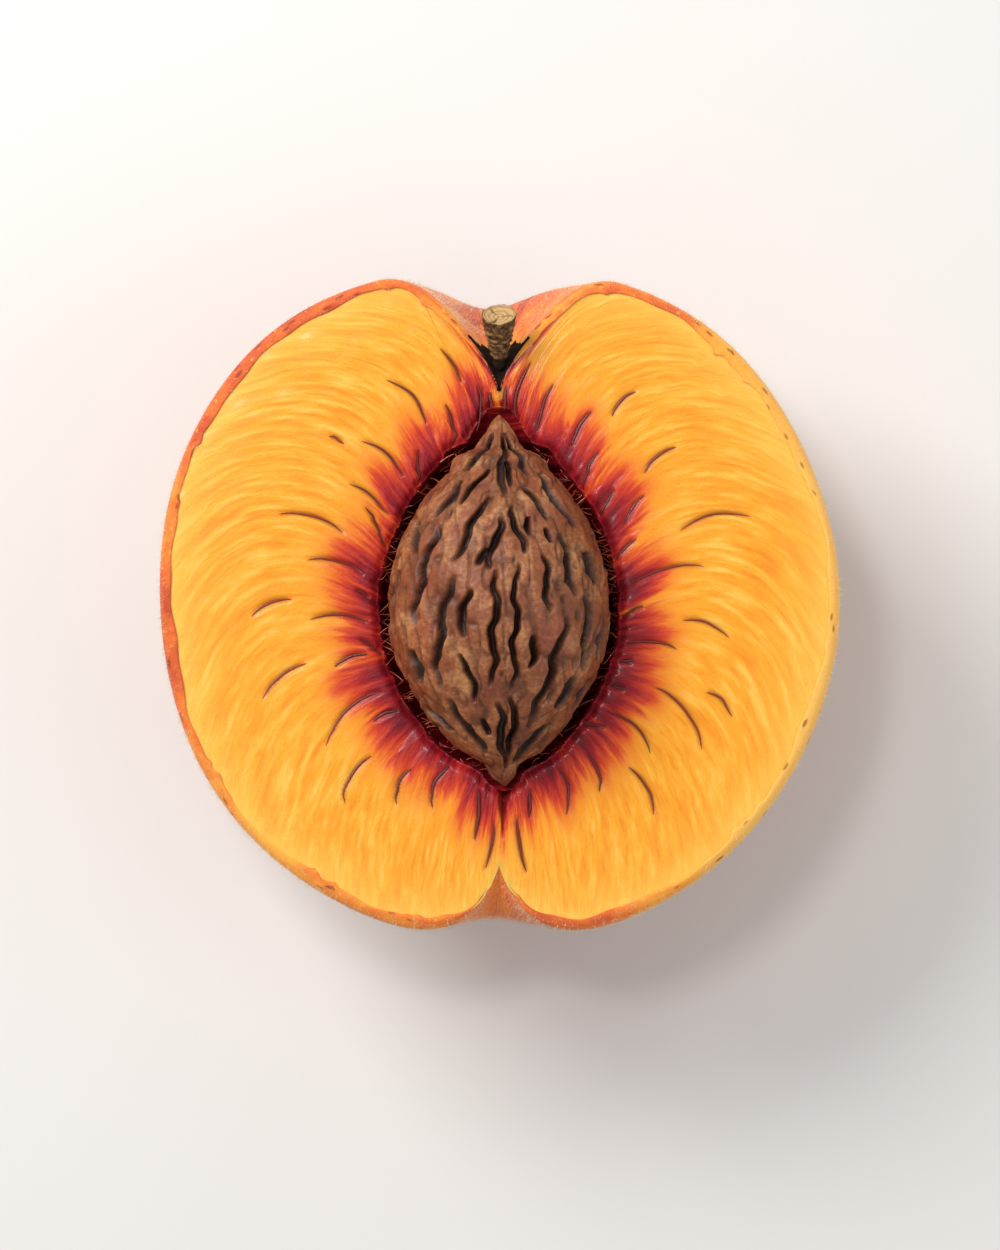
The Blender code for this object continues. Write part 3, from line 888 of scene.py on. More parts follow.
@dataclass
class CutFace:
    """The flesh: its cut face with fibres and fine grooves, and the hollow round the stone.

    A bundle of fibres shows on the face as (first, last, begin, end): the places of its two ends,
    as shares of the outline from stem to tip, and how far out they are, as shares of the way from
    the stone to the skin. Beside the axis it is (top x, bottom x, bow, top y, bottom y) in
    millimetres instead.
    """

    fruit: Fruit
    stone: StoneForm
    face_rows: int = 88
    hollow_rows: int = 13
    under_rows: int = 7
    step_down: float = 0.13 * MM
    tuck: float = 0.25 * MM
    skin_room: float = 0.55 * MM
    edge_rounding: float = 0.45 * MM
    edge_raggedness: float = 0.32 * MM
    swing_up: float = 0.20
    swing_down: float = 0.25
    swing_out: float = 0.12
    bundle_bow: float = 0.032
    groove_half_width: float = 0.27 * MM
    groove_depth: float = 0.22 * MM
    fibre_ridge: float = 0.02 * MM
    fibre_ridge_by_stone: float = 0.10 * MM
    knife_wave: float = 0.10 * MM
    crease_length: float = 5.4 * MM
    crease_half_width: float = 0.5 * MM
    crease_depth: float = 1.5 * MM
    red_reach: float = 5.6 * MM
    warm_reach: float = 2.6 * MM
    warm_half_width: float = 6.5 * MM
    warmth: float = 0.9
    pale_reach: float = 2.2 * MM
    core_paleness: float = 0.55
    core_half_width: float = 0.75 * MM
    core_low: float = 19.0 * MM
    core_top: float = 23.4 * MM
    seed: int = 11
    right_bundles: tuple[tuple[float, float, float, float], ...] = (
        (0.19, 0.15, 0.04, 0.32), (0.24, 0.22, 0.10, 0.30), (0.31, 0.27, 0.01, 0.19),
        (0.245, 0.24, 0.36, 0.55), (0.33, 0.32, 0.30, 0.51), (0.36, 0.33, 0.01, 0.14),
        (0.385, 0.355, 0.10, 0.25), (0.415, 0.42, 0.34, 0.68), (0.435, 0.41, 0.01, 0.13),
        (0.475, 0.465, 0.07, 0.41), (0.53, 0.51, 0.01, 0.12), (0.53, 0.55, 0.30, 0.53),
        (0.57, 0.57, 0.04, 0.29), (0.60, 0.595, 0.04, 0.10), (0.645, 0.64, 0.03, 0.11),
        (0.625, 0.68, 0.25, 0.59), (0.615, 0.635, 0.49, 0.66), (0.68, 0.71, 0.08, 0.39),
        (0.72, 0.705, 0.01, 0.12), (0.74, 0.77, 0.34, 0.61), (0.755, 0.79, 0.13, 0.32),
        (0.805, 0.845, 0.07, 0.34))
    left_bundles: tuple[tuple[float, float, float, float], ...] = (
        (0.115, 0.125, 0.29, 0.55), (0.215, 0.21, 0.18, 0.51), (0.21, 0.175, 0.01, 0.22),
        (0.30, 0.255, 0.01, 0.13), (0.30, 0.29, 0.09, 0.36), (0.305, 0.305, 0.41, 0.49),
        (0.365, 0.345, 0.06, 0.29), (0.41, 0.41, 0.21, 0.53), (0.415, 0.365, 0.01, 0.18),
        (0.46, 0.455, 0.08, 0.36), (0.50, 0.485, 0.04, 0.11), (0.505, 0.525, 0.41, 0.61),
        (0.535, 0.53, 0.05, 0.34), (0.59, 0.56, 0.01, 0.11), (0.585, 0.595, 0.08, 0.25),
        (0.585, 0.615, 0.38, 0.62), (0.645, 0.69, 0.07, 0.45), (0.685, 0.685, 0.04, 0.18),
        (0.725, 0.76, 0.29, 0.57), (0.775, 0.80, 0.18, 0.41), (0.81, 0.835, 0.05, 0.32))
    axis_bundles: tuple[tuple[float, float, float, float, float], ...] = (
        (3.3, 1.65, -0.6, 25.1, 19.1), (-2.25, -2.45, 0.5, 22.9, 17.7),
        (-0.92, -0.82, 0.0, 22.0, 20.2), (0.72, 0.52, 0.0, 22.7, 20.1),
        (3.2, 3.1, 0.0, -18.6, -21.6), (1.85, 2.85, -0.25, -21.3, -27.3),
        (-2.0, -2.5, 0.12, -18.6, -24.0), (-0.5, -1.5, 0.25, -21.7, -27.1))
    grid: Array = field(default_factory=lambda: np.zeros((0, 0, 3)))
    shares: Array = field(default_factory=lambda: np.zeros(0))

    def ragged_edge(self) -> Array:
        """Share by which the skin's edge wanders: three waves and a few sharp nicks round the rim."""
        angle = self.fruit.ring_angles()
        wave = (0.16 * np.sin(7 * angle + 1.0) + 0.12 * np.sin(17 * angle)
                + 0.08 * np.sin(41 * angle + 2.0))
        rng = np.random.default_rng(self.seed)
        for middle in rng.uniform(0.0, 2 * math.pi, 26):
            wave = wave + rng.uniform(0.15, 0.40) * np.exp(-(wrapped(angle - middle) / 0.012) ** 2)
        return wave

    def outer_edge(self) -> Array:
        """The face's edge: the skin's edge, moved a little outwards so that it tucks under."""
        edge = self.fruit.rim_ring(0.0, self.ragged_edge())
        flat = self.fruit.rim_ring(1.0)
        away = flat - edge
        away[:, 2] = 0.0
        return edge + unit(away) * np.minimum(self.tuck, np.linalg.norm(away, axis=1))[:, None]

    def inner_edge(self, noise: LatticeNoise) -> Array:
        """The hollow's edge: its smooth form, with torn flesh that reaches in and out."""
        sides = [self.stone.hollow_side(self.fruit.steps, 0.0, side) for side in Side]
        ring = Fruit.ring(*sides)
        torn = (0.6 * noise.at(ring, 1.7 * MM) + 0.45 * noise.at(ring + 0.5, 0.7 * MM)
                + 0.5 * noise.at(ring + 0.2, 0.33 * MM))
        ring[:, 0] += np.sign(ring[:, 0]) * self.edge_raggedness * torn * np.clip(
            np.abs(ring[:, 0]) / (1.5 * MM), 0.0, 1.0)
        return ring

    def face_grid(self, noise: LatticeNoise) -> tuple[Array, Array]:
        """Points of the flat cut face, and how far out each row is.

        Straight blend between the hollow's edge and the outer edge, with rows closer together
        near both.

        Returns:
            Rings of points, and one share for each ring.
        """
        even = np.linspace(0.0, 1.0, self.face_rows)
        share = even - 0.11 * np.sin(2 * math.pi * even)
        inner, outer = self.inner_edge(noise), self.outer_edge()
        return inner + (outer - inner) * share[:, None, None], share

    def rise(self, place: Array, share: Array) -> Array:
        """How far a fibre has risen towards the stem on its way out.

        In the stem's half fibres rise first and then bend down towards the tip, a linear term
        less a square one. In the tip's half they run down evenly. Near both ends of the axis they
        run straight out.
        """
        lower = np.clip((place - 0.4) / 0.4, 0.0, 1.0)
        lower = lower * lower * (3.0 - 2.0 * lower)
        straight = np.clip(place / 0.12, 0.0, 1.0) * np.clip((1.0 - place) / 0.12, 0.0, 1.0)
        upper_half = self.swing_up * share - self.swing_down * share ** 2
        return straight * ((1.0 - lower) * upper_half - lower * self.swing_out * share)

    def face_at(self, place: Array, share: Array, side: Side) -> Array:
        """Points on the finished face, blended between the four nearest points of its grid."""
        count = 2 * self.fruit.steps
        column = place * self.fruit.steps
        column = column if side is Side.RIGHT else count - column
        row = np.interp(share, self.shares, np.arange(len(self.shares)))
        left, top = np.floor(column).astype(int), np.floor(row).astype(int)
        below = np.minimum(top + 1, len(self.shares) - 1)
        across, down = (column - left)[:, None], (row - top)[:, None]
        here = self.grid[top, left % count] * (1 - across) + self.grid[top, (left + 1) % count] * across
        under = (self.grid[below, left % count] * (1 - across)
                 + self.grid[below, (left + 1) % count] * across)
        return here * (1 - down) + under * down

    def bundle_paths(self) -> Array:
        """Lines of the fibre bundles on the face as it is so far.

        Each runs evenly from its first place to its last, bowed towards the stem by a parabola.

        Returns:
            Points by bundle and by place along it.
        """
        step = np.linspace(0.0, 1.0, 18)
        paths = []
        for side, bundles in ((Side.RIGHT, self.right_bundles), (Side.LEFT, self.left_bundles)):
            for first, last, begin, end in bundles:
                bow = self.bundle_bow * (end - begin) * 4.0 * step * (1.0 - step)
                place = first + (last - first) * step - bow
                paths.append(self.face_at(place, begin + (end - begin) * step, side))
        level = float(self.grid[..., 2].mean())
        for top_x, bottom_x, bow, top_y, bottom_y in self.axis_bundles:
            across = top_x + (bottom_x - top_x) * step + 4.0 * bow * step * (1.0 - step)
            along = top_y + (bottom_y - top_y) * step
            paths.append(np.stack([across * MM, along * MM, np.full_like(step, level)], axis=1))
        return np.array(paths)

    def groove_share(self, points: Array, paths: Array) -> Array:
        """How deep in a bundle's groove each point of the face is, from 0 to 1.

        A bell curve across the groove, times the root of a sine along it so that both ends taper.

        Args:
            points: Face points, x and y used.
            paths: The bundles' lines, points by bundle and by place along it.

        Returns:
            The largest share of any groove at each point.
        """
        flat = points[..., :2].reshape(-1, 2)
        result = np.zeros(len(flat))
        for line in paths:
            path = line[:, :2]
            reach = 3.0 * self.groove_half_width
            inside = np.all((flat > path.min(axis=0) - reach)
                            & (flat < path.max(axis=0) + reach), axis=1)
            if not inside.any():
                continue
            here = flat[inside][:, None]
            start, step = path[:-1], np.diff(path, axis=0)
            length = np.maximum((step ** 2).sum(axis=1), 1e-14)
            along = np.clip(((here - start) * step).sum(axis=2) / length, 0.0, 1.0)
            gap = np.linalg.norm(here - start - along[..., None] * step, axis=2)
            nearest = gap.argmin(axis=1)
            rows = np.arange(len(nearest))
            place = (nearest + along[rows, nearest]) / len(step)
            taper = np.sqrt(np.sin(math.pi * np.clip(place, 0.0, 1.0)))
            share = taper * np.exp(-(gap[rows, nearest] / self.groove_half_width) ** 2)
            result[inside] = np.maximum(result[inside], share)
        return result.reshape(points.shape[:-1])

    def crease_share(self, points: Array) -> Array:
        """How deep in the crease below the stone each point is: a bell that narrows to a line."""
        lower = self.stone.bottom - points[..., 1]
        closing = np.clip(1.0 - lower / self.crease_length, 0.0, 1.0)
        width = self.crease_half_width * np.maximum(closing, 0.25)
        across = points[..., 0] - self.stone.bend * np.clip(closing, 0.6, 1.0)
        return closing ** 0.6 * np.exp(-(across / width) ** 2) * (lower > 0)

    def flow(self, rows: Array) -> Array:
        """Coordinates that follow the fibres: a circle round the stone, and the distance outwards.

        Args:
            rows: Share of the way out, one for each ring.

        Returns:
            Vectors for each ring and point; length across the fibres is true at mid-face.
        """
        angle = wrapped(self.fruit.ring_angles())
        place = np.abs(angle) / math.pi
        start = place + self.rise(place[None], rows[:, None])
        turn = np.where(angle < 0, -1.0, 1.0) * start * math.pi
        radius = 0.7 * self.fruit.radius
        out = np.broadcast_to(rows[:, None] * (self.fruit.radius - self.stone.half_width), turn.shape)
        return np.stack([radius * np.cos(turn), radius * np.sin(turn), out], axis=-1)

    def hollow_wall(self, noise: LatticeNoise) -> Array:
        """Rings of the hollow's torn wall, from its deepest line up to just under the face."""
        rings = []
        for i in range(self.hollow_rows):
            share = 1.0 - i / self.hollow_rows
            ring = Fruit.ring(*[self.stone.hollow_side(self.fruit.steps, share, side) for side in Side])
            torn = noise.at(ring * np.array([1.0, 1.0, 0.35]), 0.9 * MM)
            pull = 0.22 * MM * torn * np.clip(np.abs(ring[:, 0]) / (2 * MM), 0.0, 1.0)
            ring[:, 0] -= np.sign(ring[:, 0]) * np.abs(pull)
            rings.append(ring)
        return np.array(rings)

    def under_skin(self) -> Array:
        """Rings under the rim and the skin: their surface, drawn in towards the fruit's middle."""
        rings = [self.fruit.rim_ring(roll) for roll in (0.4, 0.8)]
        rings += [self.fruit.back_ring(i / self.under_rows) for i in range(self.under_rows + 1)]
        under = np.array(rings)
        under *= (1.0 - self.skin_room / np.linalg.norm(under, axis=2))[..., None]
        under[:2, :, 2] -= 0.3 * MM
        return under

    def sink_face(self, noise: LatticeNoise) -> Array:
        """Lower the face at its edges, wave and ridge it, and press grooves and the crease into it.

        The ridges follow the fibres and are higher by the stone, by an exponential.

        Returns:
            How deep in a groove or in the crease each point is, from 0 to 1; the flesh paints shade
            there by it.
        """
        face = self.grid
        from_stone = np.linalg.norm(face - face[0], axis=2)
        face[..., 2] -= self.step_down * np.clip(np.abs(face[..., 0]) / (3 * MM), 0.25, 1.0)
        face[..., 2] -= self.edge_rounding * np.exp(-(from_stone / (0.55 * MM)) ** 2)
        face[..., 2] += self.knife_wave * noise.at(face, 9 * MM) + 0.03 * MM * noise.at(face, 1.2 * MM)
        flow = self.flow(self.shares) * np.array([1.0, 1.0, 0.10])
        ridge = noise.at(flow, 0.95 * MM) + 0.6 * noise.at(flow + 0.1, 0.5 * MM)
        by_stone = np.exp(-from_stone / (3.0 * MM))
        face[..., 2] += ridge * (self.fibre_ridge + self.fibre_ridge_by_stone * by_stone)
        groove = self.groove_share(face, self.bundle_paths())
        crease = self.crease_share(face)
        face[..., 2] -= self.groove_depth * groove + self.crease_depth * crease
        return np.clip(np.maximum(0.8 * groove, 1.3 * crease), 0.0, 1.15)

    def make(self) -> bpy.types.Object:
        """Build the flesh from the hollow's deepest line, over the cut face, to under the skin.

        Returns:
            The flesh piece, with the attributes flow, near, rim, core and stroke, the painted shade of
            the grooves and the crease.
        """
        noise = LatticeNoise(self.seed)
        self.grid, self.shares = self.face_grid(noise)
        from_stone = np.linalg.norm(self.grid - self.grid[0], axis=2)
        from_skin = np.linalg.norm(self.grid - self.grid[-1], axis=2)
        # painted shade: how deep each point lies in a groove or the crease, which darkens the flesh's
        # colour
        painted_groove_shade = self.sink_face(noise)
        hollow, under = self.hollow_wall(noise), self.under_skin()
        rings = np.concatenate([hollow, self.grid, under])
        before, after = np.zeros(hollow.shape[:2]), np.zeros(under.shape[:2])
        # red by the stone, and on the lips beside the stem, where the skin's own red is near
        by_stem = np.exp(-(from_skin / self.warm_reach) ** 2
                         - (self.grid[..., 0] / self.warm_half_width) ** 2)
        by_stem = by_stem * (self.grid[..., 1] > 0.0)
        near = np.maximum(np.exp(-(from_stone / self.red_reach) ** 1.3), self.warmth * by_stem)
        near = np.concatenate([before + 1.0, near, after])
        pale = np.exp(-from_skin / self.pale_reach) * (1.0 - by_stem)
        rim = np.concatenate([before, pale, after + 1.0])
        core = np.exp(-np.abs(rings[..., 0] / self.core_half_width) ** 3)
        core = core * (rings[..., 1] > self.core_low)
        core = self.core_paleness * core * np.clip(1.0 + rings[..., 2] / (1.2 * MM), 0.0, 1.0)
        core = core * np.clip((self.core_top - rings[..., 1]) / (1.2 * MM), 0.0, 1.0)
        flow = self.flow(np.concatenate([before[:, 0], self.shares, after[:, 0] + 1.0]))
        flow[:len(hollow), :, 2] = hollow[..., 2]
        piece = loft("flesh_cut", rings + self.fruit.origin, {
            "flow": flow, "near": near, "rim": rim, "core": core,
            "painted_groove_shade": np.concatenate([before, painted_groove_shade, after])})
        piece.data.materials.append(RipeFlesh().material())
        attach(piece, "root")
        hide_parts("flesh")
        return piece


@dataclass
class FibreBundles:
    """The bundles of fibres that show on the cut face: thin cords, half sunk in their grooves."""

    face: CutFace
    thinnest: float = 0.085 * MM
    thickest: float = 0.15 * MM
    sides: int = 8
    seed: int = 17

    def make(self) -> bpy.types.Object:
        """Build the bundles: round, tapered at both ends by the root of a sine.

        Returns:
            The bundles' piece, with the attribute shade, dark by the stone and lighter outwards.
        """
        rng = np.random.default_rng(self.seed)
        paths = self.face.bundle_paths()
        count, length = paths.shape[:2]
        paths[..., 2] += 0.05 * MM
        share = np.linspace(0.0, 1.0, length)[None]
        sway = 0.05 * MM * np.sin(9.0 * share + rng.uniform(0, 6.28, (count, 1)))
        paths[..., :2] += sway[..., None]
        radii = rng.uniform(self.thinnest, self.thickest, (count, 1)) * np.sqrt(np.sin(math.pi * share))
        radii[:, [0, -1]] = 0.0
        from_axis = np.linalg.norm(paths[..., :2] / np.array([1.0, 1.55]), axis=2)
        shade = np.clip((from_axis - self.face.stone.half_width) / (9.0 * MM), 0.0, 1.0)
        piece = tubes("fibre_bundles", paths + self.face.fruit.origin, radii, self.sides,
                      {"shade": shade})
        thread = FineThread("fibre_bundle_juicy", "#8A2A10", "#45080E", 0.5, coat=0.15)
        piece.data.materials.append(thread.material())
        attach(piece, "root")
        return piece


@dataclass
class Skin:
    """The thin skin, rolled over at the rim, with its ragged cut edge."""

    fruit: Fruit
    ragged: Array
    thickness: float = 0.32 * MM
    lip_rows: int = 9
    back_rows: int = 72

    def rings(self) -> Array:
        """Rings from the ragged edge, over the rolled rim, to the middle line of the back."""
        rolled = [self.fruit.rim_ring(i / self.lip_rows, self.ragged) for i in range(self.lip_rows)]
        even = np.linspace(0.0, 1.0, self.back_rows + 1)
        return np.array(rolled + [self.fruit.back_ring(share) for share in even])[:, ::2]

    def make(self) -> bpy.types.Object:
        """Build the skin as one sheet and give it its thickness inwards.

        Returns:
            The skin piece, with the attributes grain, rolled, lip and blush.
        """
        rings = self.rings()
        rows = len(rings)
        angle = self.fruit.ring_angles()[::2]
        steps = np.linalg.norm(np.diff(rings, axis=0, prepend=rings[:1]), axis=2)
        down = np.cumsum(steps, axis=0)
        turn = np.interp(np.abs(wrapped(angle)), np.linspace(0, math.pi, self.fruit.steps + 1),
                         self.fruit.turns)
        centre_way = np.arctan2(-rings[..., 2], rings[..., 0])
        reach = 0.7 * self.fruit.radius
        grain = np.stack([reach * np.cos(centre_way), reach * np.sin(centre_way),
                          np.broadcast_to(turn * self.fruit.radius, (rows, len(angle)))], axis=-1)
        around = np.broadcast_to(angle * self.fruit.radius * 1.03, (rows, len(angle)))
        rolled = np.stack([around, down, 0.0 * down], axis=-1)
        lip = np.exp(-(down / (2.6 * MM)) ** 4)
        unit_points = unit(rings)
        sunny = unit_points @ unit(np.array([-0.55, 0.25, -0.75]))
        hollow = np.exp(-(turn / 0.30) ** 2)
        tip = np.exp(-((math.pi - turn) / 0.45) ** 2)
        blush = 0.34 * sunny + (0.25 * tip + 0.02 * hollow) * np.ones((rows, 1)) + 0.10
        piece = loft("skin", rings + self.fruit.origin,
                     {"grain": grain, "rolled": rolled, "lip": lip, "blush": blush})
        face_towards(piece, np.array([0.0, 0.0, -1.0]))
        add_wall(piece, self.thickness)
        piece.data.materials.append(DownySkin().material())
        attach(piece, "root")
        return piece


@dataclass
class StemScarAndShade:
    """The cork crust on the skin round the stem's foot, with a jagged edge; its near-black colour is
    painted shade of the deep stem hollow.
    """

    fruit: Fruit
    radius: float = 2.75 * MM
    smallest: float = 0.04 * MM
    crust: float = 0.09 * MM
    thickness: float = 0.22 * MM
    rows: int = 46
    columns: int = 150
    seed: int = 29

    def make(self) -> bpy.types.Object:
        """Build the crust as a sheet on the skin and give it its thickness inwards.

        The skin's surface from the axis to a radius that wanders, raised along its normal by a
        rough height that falls below the skin at the edge.

        Returns:
            The crust piece.
        """
        noise = LatticeNoise(self.seed)
        way = np.linspace(0.0, math.pi, self.columns)
        round_axis = np.stack([np.cos(way), np.sin(way), 0.0 * way], axis=1)
        jagged = 0.35 * noise.at(round_axis, 0.30) + 0.25 * noise.at(round_axis + 5.0, 0.11)
        share = np.linspace(0.0, 1.0, self.rows)[:, None]
        distance = self.smallest + (self.radius * (1.0 + 0.5 * jagged) - self.smallest) * share
        turn = np.arcsin(distance / self.fruit.radius)
        sheet = self.fruit.surface(turn, np.broadcast_to(way, turn.shape))
        normal = unit(np.cross(np.gradient(sheet, axis=0), np.gradient(sheet, axis=1)))
        normal = normal * np.where(normal[..., 1:2] < 0.0, -1.0, 1.0)
        rough = 1.0 + 0.5 * noise.at(sheet, 0.55 * MM) + 0.3 * noise.at(sheet, 0.25 * MM)
        height = self.crust * rough * (1.0 - 1.9 * share ** 6)
        sheet = sheet + normal * height[..., None]
        piece = build_mesh("stem_scar_and_shade", sheet.reshape(-1, 3) + self.fruit.origin,
                           ring_faces(self.rows, self.columns, wrap=False), {})
        face_towards(piece, np.array([0.0, 1.0, 0.0]))
        add_wall(piece, self.thickness)
        # near-black cork colour: painted shade deep in the stem hollow
        piece.data.materials.append(CorkAndPaintedShade().material())
        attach(piece, "root")
        return piece


@dataclass
class Down:
    """The down on the skin: short fine hairs, each a closed spike with four faces."""

    fruit: Fruit
    rings: Array
    count: int = 44000
    shortest: float = 0.35 * MM
    longest: float = 0.85 * MM
    thickness: float = 0.022 * MM
    bare_radius: float = 3.4 * MM
    seed: int = 23

    def make(self) -> bpy.types.Object:
        """Scatter hairs evenly over the skin and build them as one mesh.

        A hair's root is a random place in a random cell of the skin's grid, cells being drawn by
        their area, and its tip lies along the normal plus a lean towards the fruit's tip. The dark
        crust round the stem's foot, painted shade of the hollow, stays bare.

        Returns:
            The down piece, with the attribute shade.
        """
        rng = np.random.default_rng(self.seed)
        rings = np.concatenate([self.rings, self.rings[:, :1]], axis=1)
        one, two = rings[1:, :-1] - rings[:-1, :-1], rings[:-1, 1:] - rings[:-1, :-1]
        across = np.cross(one, two)
        area = np.linalg.norm(across, axis=2)
        chosen = rng.choice(area.size, self.count, p=(area / area.sum()).ravel())
        row, column = np.unravel_index(chosen, area.shape)
        share_one, share_two = rng.random((2, self.count, 1))
        roots = rings[row, column] + one[row, column] * share_one + two[row, column] * share_two
        normal = unit(across[row, column])
        outwards = np.sign((normal * unit(roots)).sum(axis=1, keepdims=True))
        normal = normal * np.where(outwards == 0.0, 1.0, outwards)
        lean = rng.normal(0.0, 0.38, (self.count, 3)) + np.array([0.0, -0.25, 0.0])
        length = rng.uniform(self.shortest, self.longest, (self.count, 1))
        length = length * rng.uniform(0.6, 1.0, (self.count, 1))
        tips = roots + unit(normal + lean) * length
        lift = self.fruit.origin[2]
        clear = (tips[:, 2] + lift > 0.05 * MM) & (roots[:, 2] + lift > 0.3 * MM)
        clear &= (np.hypot(roots[:, 0], roots[:, 2]) > self.bare_radius) | (roots[:, 1] < 0.0)
        roots, tips, normal = roots[clear], tips[clear], normal[clear]
        first = unit(np.cross(normal, np.array([0.3, 0.8, 0.52])))
        second = np.cross(normal, first)
        roots = roots - normal * 0.04 * MM
        turns = np.arange(3) * 2.0 * math.pi / 3.0
        feet = [roots + self.thickness * (math.cos(t) * first + math.sin(t) * second) for t in turns]
        points = np.stack([*feet, tips], axis=1)
        faces = np.array([[0, 1, 3], [1, 2, 3], [2, 0, 3], [0, 2, 1]])
        all_faces = (faces[None] + (np.arange(len(points)) * 4)[:, None, None]).reshape(-1, 3)
        shade = np.repeat(rng.random(len(points)), 4)
        piece = build_mesh("down", points.reshape(-1, 3) + self.fruit.origin, all_faces,
                           {"shade": shade})
        hair = FineThread("down_hair_dry", "#FFF1D8", "#F0CF98", 0.55, sheen=0.4)
        piece.data.materials.append(hair.material())
        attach(piece, "root")
        return piece


@dataclass
class Stone:
    """The stone, with a keel between two grooves, broken wavy furrows, pits and fine roughness."""

    fruit: Fruit
    form: StoneForm
    rows: int = 300
    columns: int = 310
    front_fineness: float = 0.42
    side_angles: tuple[float, ...] = (-82, 84, -97, 98, -112, 112, -129, 129, -146, 146, -163, 163, 179)
    furrow_half_width: float = 0.40 * MM
    furrow_depth: float = 1.35 * MM
    widest_aside: float = 1.9
    wander: float = 0.30 * MM
    wander_length: float = 5.2 * MM
    keel_height: float = 0.40 * MM
    keel_angle: float = math.radians(3.5)
    keel_half_width: float = 0.95 * MM
    vein_depth: float = 0.24 * MM
    pit_count: int = 170
    seed: int = 5
    front_furrows: tuple[tuple[float, float, float, float], ...] = (
        (-22, -45, 0.05, 0.16), (-14, -29, 0.15, 0.25), (-35, -48, 0.18, 0.28), (-10, -26, 0.23, 0.40),
        (1, -6, 0.28, 0.42), (-9, -11, 0.36, 0.41), (-41, -50, 0.30, 0.57), (-64, -57, 0.29, 0.38),
        (-25, -41, 0.43, 0.74), (-38, -23, 0.76, 0.91), (-16, -21, 0.47, 0.60), (-20, -16, 0.64, 0.77),
        (-1, -4, 0.42, 0.73), (-16, -13, 0.81, 0.86), (-55, -57, 0.63, 0.72), (-67, -52, 0.78, 0.85),
        (-70, -72, 0.42, 0.52), (10, 1, 0.05, 0.23), (6, 9, 0.11, 0.20), (25, 36, 0.05, 0.17),
        (44, 54, 0.16, 0.31), (23, 33, 0.20, 0.29), (18, 21, 0.28, 0.33), (9, 14, 0.25, 0.38),
        (29, 30, 0.31, 0.35), (25, 27, 0.38, 0.53), (40, 43, 0.32, 0.49), (58, 64, 0.37, 0.46),
        (9, 8, 0.40, 0.74), (19, 18, 0.59, 0.68), (37, 27, 0.54, 0.83), (53, 55, 0.47, 0.69),
        (49, 50, 0.70, 0.79), (48, 29, 0.82, 0.94), (-1, 6, 0.77, 0.95), (9, 14, 0.75, 0.93),
        (71, 70, 0.56, 0.66), (72, 70, 0.71, 0.79))

    def furrows(self) -> list[tuple[float, float, float, float]]:
        """All furrows as (angle at the top, angle at the bottom, top, bottom).

        Angles are degrees from the middle of the front, and top and bottom shares of the length.
        The front has its own; the sides and the back have broken lines along their meridians.
        """
        rng = np.random.default_rng(self.seed)
        furrows = list(self.front_furrows)
        for angle in self.side_angles:
            start = rng.uniform(0.08, 0.16)
            while start < 0.90:
                end = start + rng.uniform(0.07, 0.19)
                at_top, at_bottom = angle + rng.normal(0, 2.0), angle + rng.normal(0, 2.0)
                furrows.append((at_top, at_bottom, start, min(end, 0.95)))
                start = end + rng.uniform(0.015, 0.05)
        return furrows

    def furrow_share(self, y: Array, turn: Array, width: Array) -> Array:
        """How deep in a furrow each point is, from 0 to 1.

        A furrow runs straight from angle to angle and wanders to both sides as a sine. Its section
        is a bell with steep sides, wider by 1 / cos(angle) away from the front as far as
        `widest_aside`, and a root of a sine tapers its two ends.

        Args:
            y: Height along the axis of each row.
            turn: Angle round the axis of each column, a quarter turn being the front.
            width: Half width of the stone at each row.

        Returns:
            The largest share of any furrow, by row and column.
        """
        rng = np.random.default_rng(self.seed + 2)
        length = self.form.top - self.form.bottom
        down = (self.form.top - y) / length
        result = np.zeros((len(y), len(turn)))
        for first, last, top, bottom in self.furrows():
            share = np.clip((down - top) / (bottom - top), 0.0, 1.0)
            taper = np.sqrt(np.sin(math.pi * share))
            bends = (bottom - top) * length / self.wander_length
            wander = self.wander * np.sin(2 * math.pi * bends * share + rng.uniform(0, 6.28))
            wander += 0.3 * self.wander * np.sin(5 * math.pi * bends * share + rng.uniform(0, 6.28))
            middle = math.pi / 2 - np.radians(first + (last - first) * share)
            gap = wrapped(turn[None] - middle[:, None]) * np.maximum(width, 0.3 * MM)[:, None]
            narrow = np.clip(width / (3 * MM), 0.75, 1.0)[:, None]
            facing = math.cos(math.radians((first + last) / 2.0))
            aside = min(1.0 / max(facing, 0.1), self.widest_aside)
            half = self.furrow_half_width * rng.uniform(0.8, 1.25) * aside * narrow
            half = half * (0.5 + 0.5 * taper[:, None])
            depth = rng.uniform(0.8, 1.0) * taper[:, None] * np.sqrt(narrow)
            section = np.exp(-np.abs((gap + wander[:, None] * narrow) / half) ** 4)
            result = np.maximum(result, depth * section)
        return result

    def keel(self, turn: Array, width: Array) -> Array:
        """Height of the keel: a flat-topped bell across its meridian."""
        across = wrapped(turn[None] - math.pi / 2 + self.keel_angle)
        across = across * np.maximum(width, 0.3 * MM)[:, None]
        narrow = np.clip(width / (7 * MM), 0.25, 1.0)[:, None]
        return self.keel_height * np.exp(-(across / (self.keel_half_width * narrow)) ** 4)

    def pits(self, y: Array, turn: Array, width: Array) -> Array:
        """How deep in a small round pit each point is: bell curves at seeded places."""
        rng = np.random.default_rng(self.seed + 1)
        result = np.zeros((len(y), len(turn)))
        for _ in range(self.pit_count):
            height = self.form.bottom + (self.form.top - self.form.bottom) * rng.uniform(0.10, 0.88)
            middle, size = rng.uniform(0, 2 * math.pi), rng.uniform(0.22, 0.5) * MM
            gap = wrapped(turn[None] - middle) * width[:, None]
            square = (gap / size) ** 2 + ((y[:, None] - height) / (1.7 * size)) ** 2
            result = np.maximum(result, rng.uniform(0.4, 1.0) * np.exp(-square))
        return result

